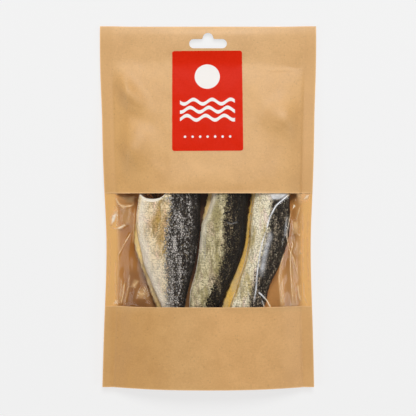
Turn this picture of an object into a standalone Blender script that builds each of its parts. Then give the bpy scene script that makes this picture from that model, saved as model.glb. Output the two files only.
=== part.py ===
"""A kraft-paper stand-up pouch with a clear window, lying on its back, with three gutted dried roach inside.

Metres, +Z up. X runs across the pouch, +Y towards its hang slot and +Z out of its front.
The origin is on the surface that the pouch lies on, under the middle of its outline.
"""

import math

import bmesh
import bpy
import numpy as np
from mathutils import Matrix, Vector

# ---------------------------------------------------------------- driving dimensions
POUCH_WIDTH = 0.181
POUCH_LENGTH = 0.3014
PLY = 0.0004  # one layer of laminated paper
GAP = 0.0003  # between pieces that touch
SEAL_LEFT, SEAL_RIGHT = 0.010, 0.009  # widths of the welded side strips

WINDOW_TOP, WINDOW_BOTTOM = 0.0106, -0.0827
FILM_THICKNESS = 0.0003
FILM_INSET = 0.0010  # the film is this much narrower than the paper on each side

CLOSURE_Y = 0.1160  # the two layers lie together above this line
BOTTOM_Y, TOP_Y = -POUCH_LENGTH / 2, POUCH_LENGTH / 2

SEAM_HEIGHT = 0.0080  # of the side seams beside the window
HEADER_HEIGHT = 0.0020
CORNER_HEIGHT = 0.0055
SEAM_FALL = 0.110  # the seams come down over this length above the window
WAIST_LEFT, WAIST_RIGHT = 0.0062, 0.0052  # how far the filling pulls each side in
WAIST_Y, WAIST_ABOVE, WAIST_BELOW = -0.035, 0.075, 0.095
WAIST_END, WAIST_FADE = 0.130, 0.060  # the sides are straight above this line, and bend into it over this length
BACK_FLAT = 0.80  # share of the half width that lies flat

MOUTH_RISE = 0.0122  # of the front's bottom edge over the corners
MOUTH_ROUND, MOUTH_FALL = 2.6, 1.2
GUSSET_DEPTH = 0.025
GUSSET_WIDTH = 0.90  # share of the width between the seams
GUSSET_WALL = 0.0030  # paper and fold left between the recess and the inside

SLOT_LENGTH, SLOT_HEIGHT = 0.0316, 0.0077
SLOT_FROM_TOP = 0.0145  # top edge of the pouch to the middle of the bar
HUMP_RADIUS, HUMP_RISE, HUMP_FILLET = 0.0044, 0.0051, 0.0015

LABEL_WIDTH, LABEL_HEIGHT, LABEL_CORNER = 0.0586, 0.0846, 0.0020
LABEL_CENTRE = (-0.0005, 0.0879)
LABEL_TILT = math.radians(0.35)
LABEL_THICKNESS = 0.0003

# Each fish: stations (y, belly x, back x) from neck to tail, thickness at its deepest station, how far the lower
# belly flap shows past the upper one at the neck and at the tail, and the hollows (x, y, radius in x, radius in y)
# that cutting off the head left in the neck.
FISH = {
    "fish_left": {
        "stations": (
            (0.0500, -0.0488, -0.0100),
            (0.0300, -0.0543, -0.0072),
            (0.0100, -0.0581, -0.0067),
            (-0.0130, -0.0616, -0.0066),
            (-0.0280, -0.0620, -0.0082),
            (-0.0430, -0.0584, -0.0104),
            (-0.0580, -0.0531, -0.0134),
            (-0.0795, -0.0454, -0.0176),
            (-0.1000, -0.0373, -0.0200),
            (-0.1190, -0.0333, -0.0215),
        ),
        "thickness": 0.0170,
        "flap": (0.0005, 0.0050),
        "neck": ((-0.0465, 0.0170, 0.0125, 0.0140), (-0.0480, 0.0640, 0.0480, 0.0520)),
    },
    "fish_middle": {
        "stations": (
            (0.0500, 0.0034, 0.0303),
            (0.0300, 0.0004, 0.0325),
            (0.0100, -0.0004, 0.0328),
            (-0.0120, -0.0052, 0.0321),
            (-0.0360, -0.0075, 0.0293),
            (-0.0540, -0.0103, 0.0231),
            (-0.0700, -0.0146, 0.0155),
            (-0.0850, -0.0158, 0.0095),
            (-0.1010, -0.0171, 0.0028),
            (-0.1190, -0.0176, -0.0047),
        ),
        "thickness": 0.0172,
        "flap": (0.0035, 0.0015),
        "neck": ((0.0060, 0.0600, 0.0400, 0.0420),),
    },
    "fish_right": {
        "stations": (
            (0.0500, 0.0392, 0.0632),
            (0.0300, 0.0377, 0.0667),
            (0.0100, 0.0361, 0.0674),
            (-0.0120, 0.0332, 0.0680),
            (-0.0350, 0.0292, 0.0642),
            (-0.0500, 0.0242, 0.0588),
            (-0.0650, 0.0182, 0.0514),
            (-0.0840, 0.0112, 0.0467),
            (-0.1020, 0.0087, 0.0387),
            (-0.1190, 0.0082, 0.0242),
        ),
        "thickness": 0.0160,
        "flap": (0.0020, 0.0050),
        "neck": ((0.0440, 0.0600, 0.0400, 0.0400),),
    },
}
FISH_LOW = PLY + GAP  # the fish lie on the back panel
FISH_MIDDLE = 0.45  # height of the belly line as a share of the thickness
FISH_SLENDER = 0.75  # thickness goes with depth to this power
FISH_SKEW = 0.10  # the back is this much thicker than the belly
BELLY_CUT = 0.0050  # depth of the slit between the flaps
TOP_ROUND, LOW_ROUND = 0.85, 0.70
TAIL_ROUND, ROUND_OFF = 0.34, 0.083  # how both ends round off: the exponent, and over what share of the length
FLAP_GROWTH, FLAP_EDGE = 1.3, 4  # how soon the lower flap widens, and how near the belly the upper one stops short
NECK_Z, NECK_RADIUS_Z = 0.019, 0.030  # the hollows widen upwards, so that their walls face up a little
TAUT_CLEARANCE = 0.0009  # the front panel over the fish

FISH_RINGS, FISH_SIDES = 34, 24
NECK_SIDES, NECK_RINGS = 40, 16
POUCH_COLUMNS = (0.0, 0.17, 0.34, 0.50, 0.64, 0.76, 0.82, 0.87, 0.91, 0.95, 1.0)
POUCH_ROWS = 32
CAVITY_ROWS = 26
FILM_COLUMNS, FILM_ROWS = 34, 14
TABLE_COLUMNS, TABLE_ROWS, EASE_ROUNDS = 97, 151, 12

COLOURS = {  # base colour, roughness, metallic
    "kraft": ((0.65, 0.41, 0.20, 1.0), 0.85, 0.0),
    "film": ((0.95, 0.93, 0.90, 0.25), 0.12, 0.0),
    "label": ((0.72, 0.03, 0.015, 1.0), 0.35, 0.0),
    "fish": ((0.38, 0.33, 0.24, 1.0), 0.55, 0.0),
}


# ---------------------------------------------------------------- curves and outlines
def ease(t):
    """0 to 1 with level ends."""
    t = np.clip(t, 0.0, 1.0)
    return t * t * (3.0 - 2.0 * t)


def smooth_through(at, places, values):
    """A curve through the stations that doesn't overshoot them (monotone cubic)."""
    order = np.argsort(places)
    x = np.asarray(places, float)[order]
    y = np.asarray(values, float)[order]
    step, rise = np.diff(x), np.diff(y) / np.diff(x)
    slope = np.concatenate([[rise[0]], (rise[:-1] + rise[1:]) / 2.0, [rise[-1]]])
    turns = np.concatenate([[False], rise[:-1] * rise[1:] <= 0.0, [False]])
    slope[turns] = 0.0
    k = np.clip(np.searchsorted(x, at) - 1, 0, len(step) - 1)
    t = np.clip((at - x[k]) / step[k], 0.0, 1.0)
    start = y[k] * (1 + 2 * t) * (1 - t) ** 2 + slope[k] * step[k] * t * (1 - t) ** 2
    end = y[k + 1] * t * t * (3 - 2 * t) - slope[k + 1] * step[k] * t * t * (1 - t)
    return start + end


def half_width(side, y):
    """From the middle to the cut edge, on the left (side -1) or the right (1). The filling pulls the edges in."""
    reach = np.where(y > WAIST_Y, WAIST_ABOVE, WAIST_BELOW)
    waist = np.where(np.asarray(side) < 0, WAIST_LEFT, WAIST_RIGHT)
    pull = waist / (1.0 + ((y - WAIST_Y) / reach) ** 2)
    return POUCH_WIDTH / 2 - pull * ease((WAIST_END - y) / WAIST_FADE)


def seam_x(side, y):
    """Inner edge of a side seal."""
    return side * (half_width(side, y) - np.where(np.asarray(side) < 0, SEAL_LEFT, SEAL_RIGHT))


def share_across(x, y):
    """0 at the middle, 1 or -1 at a seam, further out on the seal."""
    return x / np.abs(seam_x(np.sign(x) + (x == 0), y))


def seam_z(y):
    """Height of the plane where the two layers are welded."""
    down = ease((CLOSURE_Y - y) / SEAM_FALL)
    corner = ease((WINDOW_BOTTOM - y) / (WINDOW_BOTTOM - BOTTOM_Y))
    return HEADER_HEIGHT + (SEAM_HEIGHT - HEADER_HEIGHT) * down - (SEAM_HEIGHT - CORNER_HEIGHT) * corner


def back_low(x, y):
    """Underside of the back panel: flat on the ground, and up to the seams at the sides."""
    rise = ease((np.abs(share_across(x, y)) - BACK_FLAT) / (1.0 - BACK_FLAT))
    return (seam_z(y) - PLY) * rise


def back_high(x, y):
    """Inner face of the back panel, and the weld plane on the seals."""
    return back_low(x, y) + PLY


# ---------------------------------------------------------------- the fish
class Fish:
    """Section of one fish at any y, from its stations."""

    def __init__(self, stations, thickness, flap, neck):
        self.y, self.belly, self.back = (np.array(row) for row in zip(*stations))
        self.head, self.tail = self.y.max(), self.y.min()
        self.deepest = (self.back - self.belly).max()
        self.thickness, self.flap, self.neck = thickness, flap, neck

    def ends(self, y):
        """1 along the body, rounding down to 0 at its two ends."""
        along = np.clip((y - self.tail) / (self.head - self.tail), 0.0, 1.0)
        return np.clip(along * (1.0 - along) / ROUND_OFF, 0.0, 1.0) ** TAIL_ROUND

    def edges(self, y):
        belly = smooth_through(y, self.y, self.belly)
        back = smooth_through(y, self.y, self.back)
        middle, half = (belly + back) / 2, (back - belly) / 2 * self.ends(y)
        return middle - half, middle + half

    def inset(self, y):
        """How far the upper flap stops short of the lower one."""
        along = (self.head - y) / (self.head - self.tail)
        return (self.flap[0] + (self.flap[1] - self.flap[0]) * ease(along * FLAP_GROWTH)) * self.ends(y)

    def heights(self, y):
        """Belly line, and thickness above and below it."""
        belly, back = self.edges(y)
        thick = self.thickness * ((back - belly) / self.deepest) ** FISH_SLENDER
        middle = FISH_LOW + thick * FISH_MIDDLE
        return middle, thick * (1 - FISH_MIDDLE), thick * FISH_MIDDLE

    def point(self, y, turn):
        """The skin at y. turn runs round the section: 0 at the back, pi at the belly, over the top."""
        belly, back = self.edges(y)
        middle, above, below = self.heights(y)
        across, up = math.cos(turn), math.sin(turn)
        x = belly + (back - belly) * (across + 1) / 2
        on_middle = abs(up) < 1e-3
        if on_middle and across < 0:
            return x + (self.inset(y) + BELLY_CUT) * self.ends(y) ** 3, middle
        if on_middle:
            return x, middle
        if up < 0:
            return x, middle - below * abs(up) ** LOW_ROUND
        x += self.inset(y) * ((1 - across) / 2) ** FLAP_EDGE
        return x, middle + above * up**TOP_ROUND * (1 + FISH_SKEW * across)

    def top(self, x, y):
        """Height of the upper skin over (x, y), or 0 beside the fish."""
        belly, back = self.edges(y)
        middle, above, _ = self.heights(y)
        across = (x - belly) / np.maximum(back - belly, 1e-6) * 2 - 1
        up = np.sqrt(np.clip(1 - across**2, 0, 1))
        over = (np.abs(across) < 1) & (y < self.head) & (y > self.tail)
        for cx, cy, rx, ry in self.neck:
            over &= ((x - cx) / rx) ** 2 + ((y - cy) / ry) ** 2 > 1
        return np.where(over, middle + above * up**TOP_ROUND * (1 + FISH_SKEW * across), 0.0)


SHOAL = {name: Fish(**sizes) for name, sizes in FISH.items()}


# ---------------------------------------------------------------- the front panel, pulled tight over the fish
def taut(places, heights):
    """Heights of a band pulled tight over these: their upper convex hull."""
    kept = []
    for place, height in zip(places, heights):
        while len(kept) > 1:
            (x0, z0), (x1, z1) = kept[-2:]
            if (z1 - z0) * (place - x0) > (height - z0) * (x1 - x0):
                break
            kept.pop()
        kept.append((place, height))
    return np.interp(places, *zip(*kept))


def eased(table, least, rounds):
    """Each height averaged with its neighbours, with the borders kept and nothing left under least."""
    for _ in range(rounds):
        inner = table[1:-1, 1:-1] * 2 + table[:-2, 1:-1] + table[2:, 1:-1] + table[1:-1, :-2] + table[1:-1, 2:]
        table[1:-1, 1:-1] = np.maximum(inner / 6, least[1:-1, 1:-1])
    return table


def mouth_z(x, y):
    """Bottom edge of the front panel, which the gusset holds open in an arc."""
    share = np.clip(np.abs(share_across(x, y)), 0.0, 1.0)
    return seam_z(y) + MOUTH_RISE * (1 - share**MOUTH_ROUND) ** MOUTH_FALL


def front_table():
    """Heights of the front panel's inner face, on rows of y and columns from seam to seam."""
    shares = np.linspace(-1.0, 1.0, TABLE_COLUMNS)
    rows = np.linspace(BOTTOM_Y, CLOSURE_Y, TABLE_ROWS)
    share, y = np.meshgrid(shares, rows)
    x = share * np.abs(seam_x(np.where(share < 0, -1, 1), y))
    least = back_high(x, y)
    for fish in SHOAL.values():
        least = np.maximum(least, fish.top(x, y) + TAUT_CLEARANCE)
    table = least.copy()
    table[0] = mouth_z(x[0], y[0])
    table[:, 0] = table[:, -1] = seam_z(rows)
    for row in range(1, TABLE_ROWS - 1):
        table[row] = taut(x[row], table[row])
    for column in range(1, TABLE_COLUMNS - 1):
        table[:, column] = taut(rows, table[:, column])
    return eased(table, least, EASE_ROUNDS)


FRONT = front_table()


def front_low(x, y):
    """Inner face of the front panel: read from the table, and the weld plane outside it."""
    share = float(share_across(np.float64(x), np.float64(y)))
    if abs(share) >= 1.0 or y >= CLOSURE_Y:
        return float(back_high(x, y))
    column = (share + 1.0) / 2.0 * (TABLE_COLUMNS - 1)
    row = np.clip((y - BOTTOM_Y) / (CLOSURE_Y - BOTTOM_Y), 0.0, 1.0) * (TABLE_ROWS - 1)
    i, j = min(int(row), TABLE_ROWS - 2), min(int(column), TABLE_COLUMNS - 2)
    a, b = row - i, column - j
    low = FRONT[i, j] * (1 - b) + FRONT[i, j + 1] * b
    high = FRONT[i + 1, j] * (1 - b) + FRONT[i + 1, j + 1] * b
    return float(low * (1 - a) + high * a)


# ---------------------------------------------------------------- Blender helpers
def material(name):
    made = bpy.data.materials.get(name)
    if made is None:
        colour, roughness, metallic = COLOURS[name]
        made = bpy.data.materials.new(name)
        made.use_nodes = True
        shader = made.node_tree.nodes["Principled BSDF"]
        shader.inputs["Base Color"].default_value = colour
        shader.inputs["Roughness"].default_value = roughness
        shader.inputs["Metallic"].default_value = metallic
        shader.inputs["Alpha"].default_value = colour[3]
    return made


def add_object(name, bm, collection, finish=None, smooth_angle=None):
    """A mesh object with its origin at the middle of its box."""
    bmesh.ops.recalc_face_normals(bm, faces=bm.faces)
    mesh = bpy.data.meshes.new(name)
    bm.to_mesh(mesh)
    bm.free()
    corners = np.array([vertex.co for vertex in mesh.vertices])
    centre = Vector((corners.min(0) + corners.max(0)) / 2)
    mesh.transform(Matrix.Translation(-centre))
    made = bpy.data.objects.new(name, mesh)
    made.location = centre
    collection.objects.link(made)
    if finish:
        mesh.materials.append(material(finish))
    if smooth_angle:
        mesh.shade_smooth()
        mesh.set_sharp_from_angle(angle=smooth_angle)
    return made


def between(bm, low, high):
    """Turns a flat sheet of faces into the solid between two height fields."""
    lifted = bmesh.ops.extrude_face_region(bm, geom=list(bm.faces))["geom"]
    upper = {item for item in lifted if isinstance(item, bmesh.types.BMVert)}
    for vertex in bm.verts:
        height = high if vertex in upper else low
        vertex.co.z = height(vertex.co.x, vertex.co.y)


def mapped_grid(columns, rows, place):
    """A grid of faces whose corner at (column, row) goes to place(column, row)."""
    bm = bmesh.new()
    wide, high = len(columns) - 1, len(rows) - 1
    bmesh.ops.create_grid(bm, x_segments=wide, y_segments=high, size=1.0)
    for vertex in bm.verts:
        column = columns[round((vertex.co.x + 1) / 2 * wide)]
        row = rows[round((vertex.co.y + 1) / 2 * high)]
        vertex.co = (*place(column, row), 0.0)
    return bm


def cutter(name, bm, collection):
    made = add_object(name, bm, collection)
    made.hide_render = True
    made.display_type = "WIRE"
    return made


def cut(target, tool):
    boolean = target.modifiers.new(tool.name, "BOOLEAN")
    boolean.operation = "DIFFERENCE"
    boolean.object = tool
    boolean.solver = "EXACT"


# ---------------------------------------------------------------- the pouch
def both_sides(shares):
    return [-share for share in reversed(shares[1:])] + list(shares)


def on_pouch(share, y):
    """A share of 2 or -2 is the cut edge outside the seal."""
    side = math.copysign(1.0, share)
    if abs(share) > 1.0:
        return side * float(half_width(side, y)), y
    return abs(share) * float(seam_x(side, y)), y


def pouch_rows():
    """Where the faces of the pouch end, from its base to its top edge. Four rows are above the closure."""
    return [*np.linspace(BOTTOM_Y, CLOSURE_Y, POUCH_ROWS - 4), *np.linspace(CLOSURE_Y, TOP_Y, 5)[1:]]


def pouch_outside():
    """The whole pouch as one solid: pillow, welded sides and flat header."""
    bm = mapped_grid(both_sides([*POUCH_COLUMNS, 2.0]), pouch_rows(), on_pouch)
    between(bm, back_low, lambda x, y: front_low(x, y) + PLY)
    return bm


def pouch_inside():
    """The space for the fish, between the two panels and above the gusset."""
    rows = np.linspace(BOTTOM_Y + GUSSET_DEPTH + GUSSET_WALL, CLOSURE_Y - 2 * PLY, CAVITY_ROWS)
    bm = mapped_grid(both_sides(POUCH_COLUMNS), rows, lambda share, y: on_pouch(share * 0.997, y))
    between(bm, lambda x, y: float(back_high(x, y)), lambda x, y: max(front_low(x, y), float(back_high(x, y)) + GAP))
    return bm


def window_cut():
    """Takes the front paper off the window band, and one layer off the seals beside it."""
    rows = np.linspace(WINDOW_BOTTOM, WINDOW_TOP, 12)
    bm = mapped_grid(both_sides([*POUCH_COLUMNS, 2.0]), rows, on_pouch)
    for vertex in bm.verts:
        if abs(share_across(vertex.co.x, vertex.co.y)) > 1.01:
            vertex.co.x *= 1.1

    def floor(x, y):
        paper = float(back_high(x, y))
        return paper + max(PLY / 3, (front_low(x, y) - paper) * 0.45)

    between(bm, floor, lambda x, y: 0.040)
    return bm


def gusset_recess():
    """The folded-in base: a lens-shaped mouth that closes to a fold line."""
    outer = both_sides([share * GUSSET_WIDTH for share in POUCH_COLUMNS])
    rows = [BOTTOM_Y - 0.001, *np.linspace(BOTTOM_Y, BOTTOM_Y + GUSSET_DEPTH, 6)]
    bm = mapped_grid(outer, rows, on_pouch)

    def half_gap(x, y):
        room = front_low(x, y) + PLY - float(back_low(x, y)) - 4 * PLY
        shut = np.clip((BOTTOM_Y + GUSSET_DEPTH - y) / GUSSET_DEPTH, 0.02, 1.0)
        edge = 1 - (abs(float(share_across(x, y))) / (GUSSET_WIDTH + 0.01)) ** 6
        return max(room * shut * edge, PLY / 2) / 2

    def middle(x, y):
        return (front_low(x, y) + PLY + float(back_low(x, y))) / 2

    between(bm, lambda x, y: middle(x, y) - half_gap(x, y), lambda x, y: middle(x, y) + half_gap(x, y))
    return bm


def arc(centre, radius, start, end, steps):
    """Points on an arc, in degrees from +X."""
    angles = np.radians(np.linspace(start, end, steps))
    return [(centre[0] + radius * math.cos(a), centre[1] + radius * math.sin(a)) for a in angles]


def slot_outline():
    """Right half of the hang slot from the bottom middle to the top middle, then its mirror image."""
    middle = TOP_Y - SLOT_FROM_TOP
    radius = SLOT_HEIGHT / 2
    hump = (0.0, middle + radius + HUMP_RISE - HUMP_RADIUS)
    drop = middle + radius + HUMP_FILLET - hump[1]
    fillet = (math.sqrt((HUMP_RADIUS + HUMP_FILLET) ** 2 - drop**2), middle + radius + HUMP_FILLET)
    towards = math.degrees(math.atan2(drop, fillet[0]))
    right = arc((SLOT_LENGTH / 2 - radius, middle), radius, -90, 90, 9)
    right += arc(fillet, HUMP_FILLET, -90, -180 + towards, 5)
    right += arc(hump, HUMP_RADIUS, towards, 90, 8)[1:]
    return right + [(-x, y) for x, y in reversed(right[:-1])]


def slot_cut(collection):
    curve = bpy.data.curves.new("slot", "CURVE")
    curve.dimensions = "2D"
    curve.fill_mode = "BOTH"
    curve.extrude = 0.010
    outline = slot_outline()
    spline = curve.splines.new("POLY")
    spline.points.add(len(outline) - 1)
    for point, (x, y) in zip(spline.points, outline):
        point.co = (x, y, 0.0, 1.0)
    spline.use_cyclic_u = True
    shape = bpy.data.objects.new("slot", curve)
    collection.objects.link(shape)
    graph = bpy.context.evaluated_depsgraph_get()
    mesh = bpy.data.meshes.new_from_object(shape.evaluated_get(graph))
    bpy.data.objects.remove(shape)
    bm = bmesh.new()
    bm.from_mesh(mesh)
    bmesh.ops.remove_doubles(bm, verts=bm.verts, dist=1e-5)
    return cutter("hang_slot_cut", bm, collection)


def build_pouch(parts, cutters):
    pouch = add_object("pouch", pouch_outside(), parts, "kraft", math.radians(40))
    cut(pouch, cutter("inside_cut", pouch_inside(), cutters))
    cut(pouch, cutter("window_cut", window_cut(), cutters))
    cut(pouch, cutter("gusset_cut", gusset_recess(), cutters))
    cut(pouch, slot_cut(cutters))


# ---------------------------------------------------------------- what is in it and on it
def build_film(parts):
    """The clear band, stretched over the fish and welded down at the sides."""
    rows = np.linspace(WINDOW_BOTTOM + GAP, WINDOW_TOP - GAP, FILM_ROWS + 1)
    columns = np.linspace(-1.0, 1.0, FILM_COLUMNS + 1)
    bm = mapped_grid(columns, rows, lambda share, y: (share * float(half_width(share, y) - FILM_INSET), y))
    lift = PLY / 3 + GAP
    between(bm, lambda x, y: front_low(x, y) + lift, lambda x, y: front_low(x, y) + lift + FILM_THICKNESS)
    add_object("window_film", bm, parts, "film", math.radians(40))


def build_label(parts):
    """A sticker with round corners, on the upper panel."""
    columns = np.linspace(-LABEL_WIDTH / 2, LABEL_WIDTH / 2, 9)
    drop = GAP  # it bends where the faces under it do, and the tilt carries no bend past the closure
    bends = [y - LABEL_CENTRE[1] - drop for y in pouch_rows()]
    rows = [-LABEL_HEIGHT / 2, *[y for y in bends if abs(y) < LABEL_HEIGHT / 2 - 0.002], LABEL_HEIGHT / 2]
    bm = mapped_grid(columns, rows, lambda x, y: (x, y))
    corners = [vertex for vertex in bm.verts if len(vertex.link_faces) == 1]
    bmesh.ops.bevel(
        bm, geom=corners, affect="VERTICES", offset=LABEL_CORNER, segments=4, profile=0.5
    )
    turn = Matrix.Rotation(LABEL_TILT, 4, "Z")
    bmesh.ops.transform(bm, matrix=Matrix.Translation((*LABEL_CENTRE, 0.0)) @ turn, verts=bm.verts)
    low = PLY + GAP
    between(bm, lambda x, y: front_low(x, y) + low, lambda x, y: front_low(x, y) + low + LABEL_THICKNESS)
    add_object("label", bm, parts, "label", math.radians(40))


def build_fish(name, fish, parts, cutters):
    """A ball drawn out along Y: its meridians run from neck to tail, and its rings become the sections."""
    bm = bmesh.new()
    bmesh.ops.create_uvsphere(bm, u_segments=FISH_SIDES, v_segments=FISH_RINGS, radius=1.0)
    for vertex in bm.verts:
        turn = math.atan2(vertex.co.y, vertex.co.x)
        y = fish.tail + (fish.head - fish.tail) * (vertex.co.z + 1) / 2
        if abs(vertex.co.z) > 0.9999:
            belly, back = fish.edges(y)
            vertex.co = ((belly + back) / 2, y, fish.heights(y)[0])
        else:
            x, z = fish.point(y, turn)
            vertex.co = (x, y, z)
    body = add_object(name, bm, parts, "fish", math.radians(50))
    for number, (cx, cy, rx, ry) in enumerate(fish.neck):
        bm = bmesh.new()
        bmesh.ops.create_uvsphere(bm, u_segments=NECK_SIDES, v_segments=NECK_RINGS, radius=1.0)
        bmesh.ops.scale(bm, vec=(rx, ry, NECK_RADIUS_Z), verts=bm.verts)
        bmesh.ops.translate(bm, vec=(cx, cy, NECK_Z), verts=bm.verts)
        cut(body, cutter(f"{name}_neck_cut_{number}", bm, cutters))


def main():
    for old in list(bpy.data.objects):
        bpy.data.objects.remove(old)
    parts = bpy.data.collections.new("dried_roach_pouch")
    cutters = bpy.data.collections.new("cutters")
    bpy.context.scene.collection.children.link(parts)
    bpy.context.scene.collection.children.link(cutters)
    build_pouch(parts, cutters)
    build_film(parts)
    build_label(parts)
    for name, fish in SHOAL.items():
        build_fish(name, fish, parts, cutters)


main()
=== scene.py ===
# %% [markdown]
# # A kraft pouch of dried roach
# The solid model of this part is exact but plain: a paper pouch, a clear film band, a sticker and three fish.
# This lesson dresses it for its picture. Every piece is made in code, in metres, in the place that the solid
# model gives it. The solids load first, because everything else is measured on them.

# %% Load the solid model
import math

import bmesh
import bpy
import numpy as np
from mathutils import Matrix, Vector, noise
from mathutils.bvhtree import BVHTree


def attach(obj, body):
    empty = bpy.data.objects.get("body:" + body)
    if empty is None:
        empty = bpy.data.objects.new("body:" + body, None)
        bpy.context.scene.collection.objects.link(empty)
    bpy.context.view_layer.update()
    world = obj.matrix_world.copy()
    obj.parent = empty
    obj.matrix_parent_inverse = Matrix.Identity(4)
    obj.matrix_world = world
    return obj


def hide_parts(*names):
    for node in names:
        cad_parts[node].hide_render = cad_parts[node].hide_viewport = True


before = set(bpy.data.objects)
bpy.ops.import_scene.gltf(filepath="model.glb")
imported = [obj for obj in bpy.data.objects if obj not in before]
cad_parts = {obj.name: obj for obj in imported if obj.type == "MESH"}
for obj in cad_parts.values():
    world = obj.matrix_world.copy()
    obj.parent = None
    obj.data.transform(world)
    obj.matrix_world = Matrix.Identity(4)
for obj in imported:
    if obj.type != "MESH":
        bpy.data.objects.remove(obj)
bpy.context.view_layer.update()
print("solids:", sorted(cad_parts))

# %% [markdown]
# ## Nodes and wires
# A finish is a small machine of nodes. A wire is one output of a node, and here it can be added to and
# multiplied like a number: each time, one more node goes into the same tree. So the recipe of a material
# further on can be read as a sum.

# %% Nodes and wires
class Wire:
    """One output of a node. Sums and products of wires add Math nodes to the same tree."""

    def __init__(self, socket):
        self.socket, self.tree = socket, socket.id_data

    def __getitem__(self, output):
        """Another output of the same node."""
        return Wire(self.socket.node.outputs[output])

    def math(self, operation, *others):
        return put(self.tree, "ShaderNodeMath", dict(enumerate((self, *others))), operation=operation)

    def __add__(self, other):
        return self.math("ADD", other)

    def __sub__(self, other):
        return self.math("SUBTRACT", other)

    def __mul__(self, other):
        return self.math("MULTIPLY", other)

    def __truediv__(self, other):
        return self.math("DIVIDE", other)

    def __rtruediv__(self, number):
        return put(self.tree, "ShaderNodeMath", {0: number, 1: self}, operation="DIVIDE")

    def clamped(self):
        """Keeps the last sum between 0 and 1."""
        self.socket.node.use_clamp = True
        return self


def fill(node, sockets):
    """Joins a wire to each of these inputs, or fills it with a value."""
    for key, value in sockets.items():
        if isinstance(value, Wire):
            value.tree.links.new(value.socket, node.inputs[key])
        else:
            node.inputs[key].default_value = value


def put(tree, kind, sockets=(), out=0, **settings):
    """Adds a node, sets its options, fills its inputs, and hands back one output as a wire."""
    node = tree.nodes.new(kind)
    for key, value in settings.items():
        setattr(node, key, value)
    fill(node, dict(sockets))
    return Wire(node.outputs[out]) if len(node.outputs) else None


def link(name, data):
    """A new object with this mesh, light or camera, in the scene."""
    made = bpy.data.objects.new(name, data)
    bpy.context.scene.collection.objects.link(made)
    return made


# %% [markdown]
# ## The camera
# The pack is seen from straight above, as on a copy stand. A long lens 65 cm away keeps the sides of the pack
# nearly parallel. The same numbers let us turn a place in the picture into a place on the object: a ray from
# the lens through that pixel, cut at the height where the detail lies.

# %% Camera, and places in the picture as places on the pack
CAMERA_Y, CAMERA_Z = -0.0015, 0.6555
LENS, SENSOR, FRAME_PIXELS = 67.5, 36.0, 416
PAPER_AT, FISH_AT = 0.012, 0.014  # how high over the table the paper and the fish lie, about

lens_data = bpy.data.cameras.new("camera")
lens_data.lens, lens_data.sensor_width = LENS, SENSOR
lens_data.clip_start, lens_data.clip_end = 0.05, 60.0
camera = link("camera", lens_data)
camera.location = (0.0, CAMERA_Y, CAMERA_Z)
bpy.context.scene.camera = camera


def seen(column, row, height=PAPER_AT):
    """Where the picture's pixel (column, row) falls on the pack, at this height."""
    pixel = SENSOR / LENS * (CAMERA_Z - height) / FRAME_PIXELS
    middle = (FRAME_PIXELS - 1) / 2
    return (column - middle) * pixel, CAMERA_Y - (row - middle) * pixel


def places_of(pixels, height=PAPER_AT):
    """Columns and rows in turn, in one flat list, as places on the pack."""
    return np.array([seen(column, row, height) for column, row in np.reshape(pixels, (-1, 2))])


print("one pixel on the label is", round(1000 * (seen(1, 0)[0] - seen(0, 0)[0]), 3), "mm")

# %% [markdown]
# ## The light
# A pack shot like this is lit by soft boxes: a strong one high beyond the top of the pack, which rakes over
# the dents of the paper, and a weak one at each side. The room is kept dim, so that the clear film doesn't
# mirror a white ceiling over the food. The table is a pale sheet that glows a little, which lightens shadows.

# %% Soft boxes, room and table
SOFT_BOXES = {
    # where it stands, the length of its side, watts
    "key_box": ((0.15, 1.40, 1.68), 0.9, 32.5),
    "side_box": ((1.10, -0.30, 0.85), 0.5, 3.4),
    "fill_box": ((-1.15, -0.30, 0.80), 0.8, 4.6),
}
ROOM_LIGHT, ROOM_SEEN = 0.20, 0.88  # how bright the room is for the pack, and for the camera
TABLE_GLOW, TABLE_COLOUR, TABLE_REACH, TABLE_Z = 0.70, 0.20, 12.0, -0.0002

bpy.context.scene.view_settings.view_transform = "Standard"
for name, (at, size, watts) in SOFT_BOXES.items():
    data = bpy.data.lights.new(name, "AREA")
    data.shape, data.size, data.energy = "SQUARE", size, watts
    lamp = link(name, data)
    lamp.location = at
    lamp.rotation_mode = "QUATERNION"
    lamp.rotation_quaternion = Vector(at).to_track_quat("Z", "Y")

room = bpy.data.worlds.new("room")
room.use_nodes = True
room.node_tree.nodes.clear()
bpy.context.scene.world = room
dim = put(room.node_tree, "ShaderNodeBackground", {"Color": (1, 1, 1, 1), "Strength": ROOM_LIGHT})
pale = put(room.node_tree, "ShaderNodeBackground", {"Color": (1, 1, 1, 1), "Strength": ROOM_SEEN})
to_camera = put(room.node_tree, "ShaderNodeLightPath", out="Is Camera Ray")
either = put(room.node_tree, "ShaderNodeMixShader", {0: to_camera, 1: dim, 2: pale})
put(room.node_tree, "ShaderNodeOutputWorld", {"Surface": either})

table_paint = bpy.data.materials.new("table_paint")
table_paint.use_nodes = True
table_look = {
    "Base Color": (TABLE_COLOUR, TABLE_COLOUR, TABLE_COLOUR, 1),
    "Roughness": 0.9,
    "Specular IOR Level": 0.0,
    "Emission Color": (1, 1, 1, 1),
    "Emission Strength": TABLE_GLOW,
}
fill(table_paint.node_tree.nodes["Principled BSDF"], table_look)
table_mesh = bpy.data.meshes.new("table")
corners = [(i * TABLE_REACH, j * TABLE_REACH, TABLE_Z) for i, j in ((-1, -1), (1, -1), (1, 1), (-1, 1))]
table_mesh.from_pydata(corners, [], [(0, 1, 2, 3)])
table_mesh.materials.append(table_paint)
table = link("table", table_mesh)
print("lights:", [lamp.name for lamp in bpy.data.lights])

# %% [markdown]
# ## Measure the pouch
# A sheet of paper over fish is a height field: one height for each place. Its grid follows the outline of the
# pouch, so each row of it is stretched from one cut edge to the other.

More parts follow.
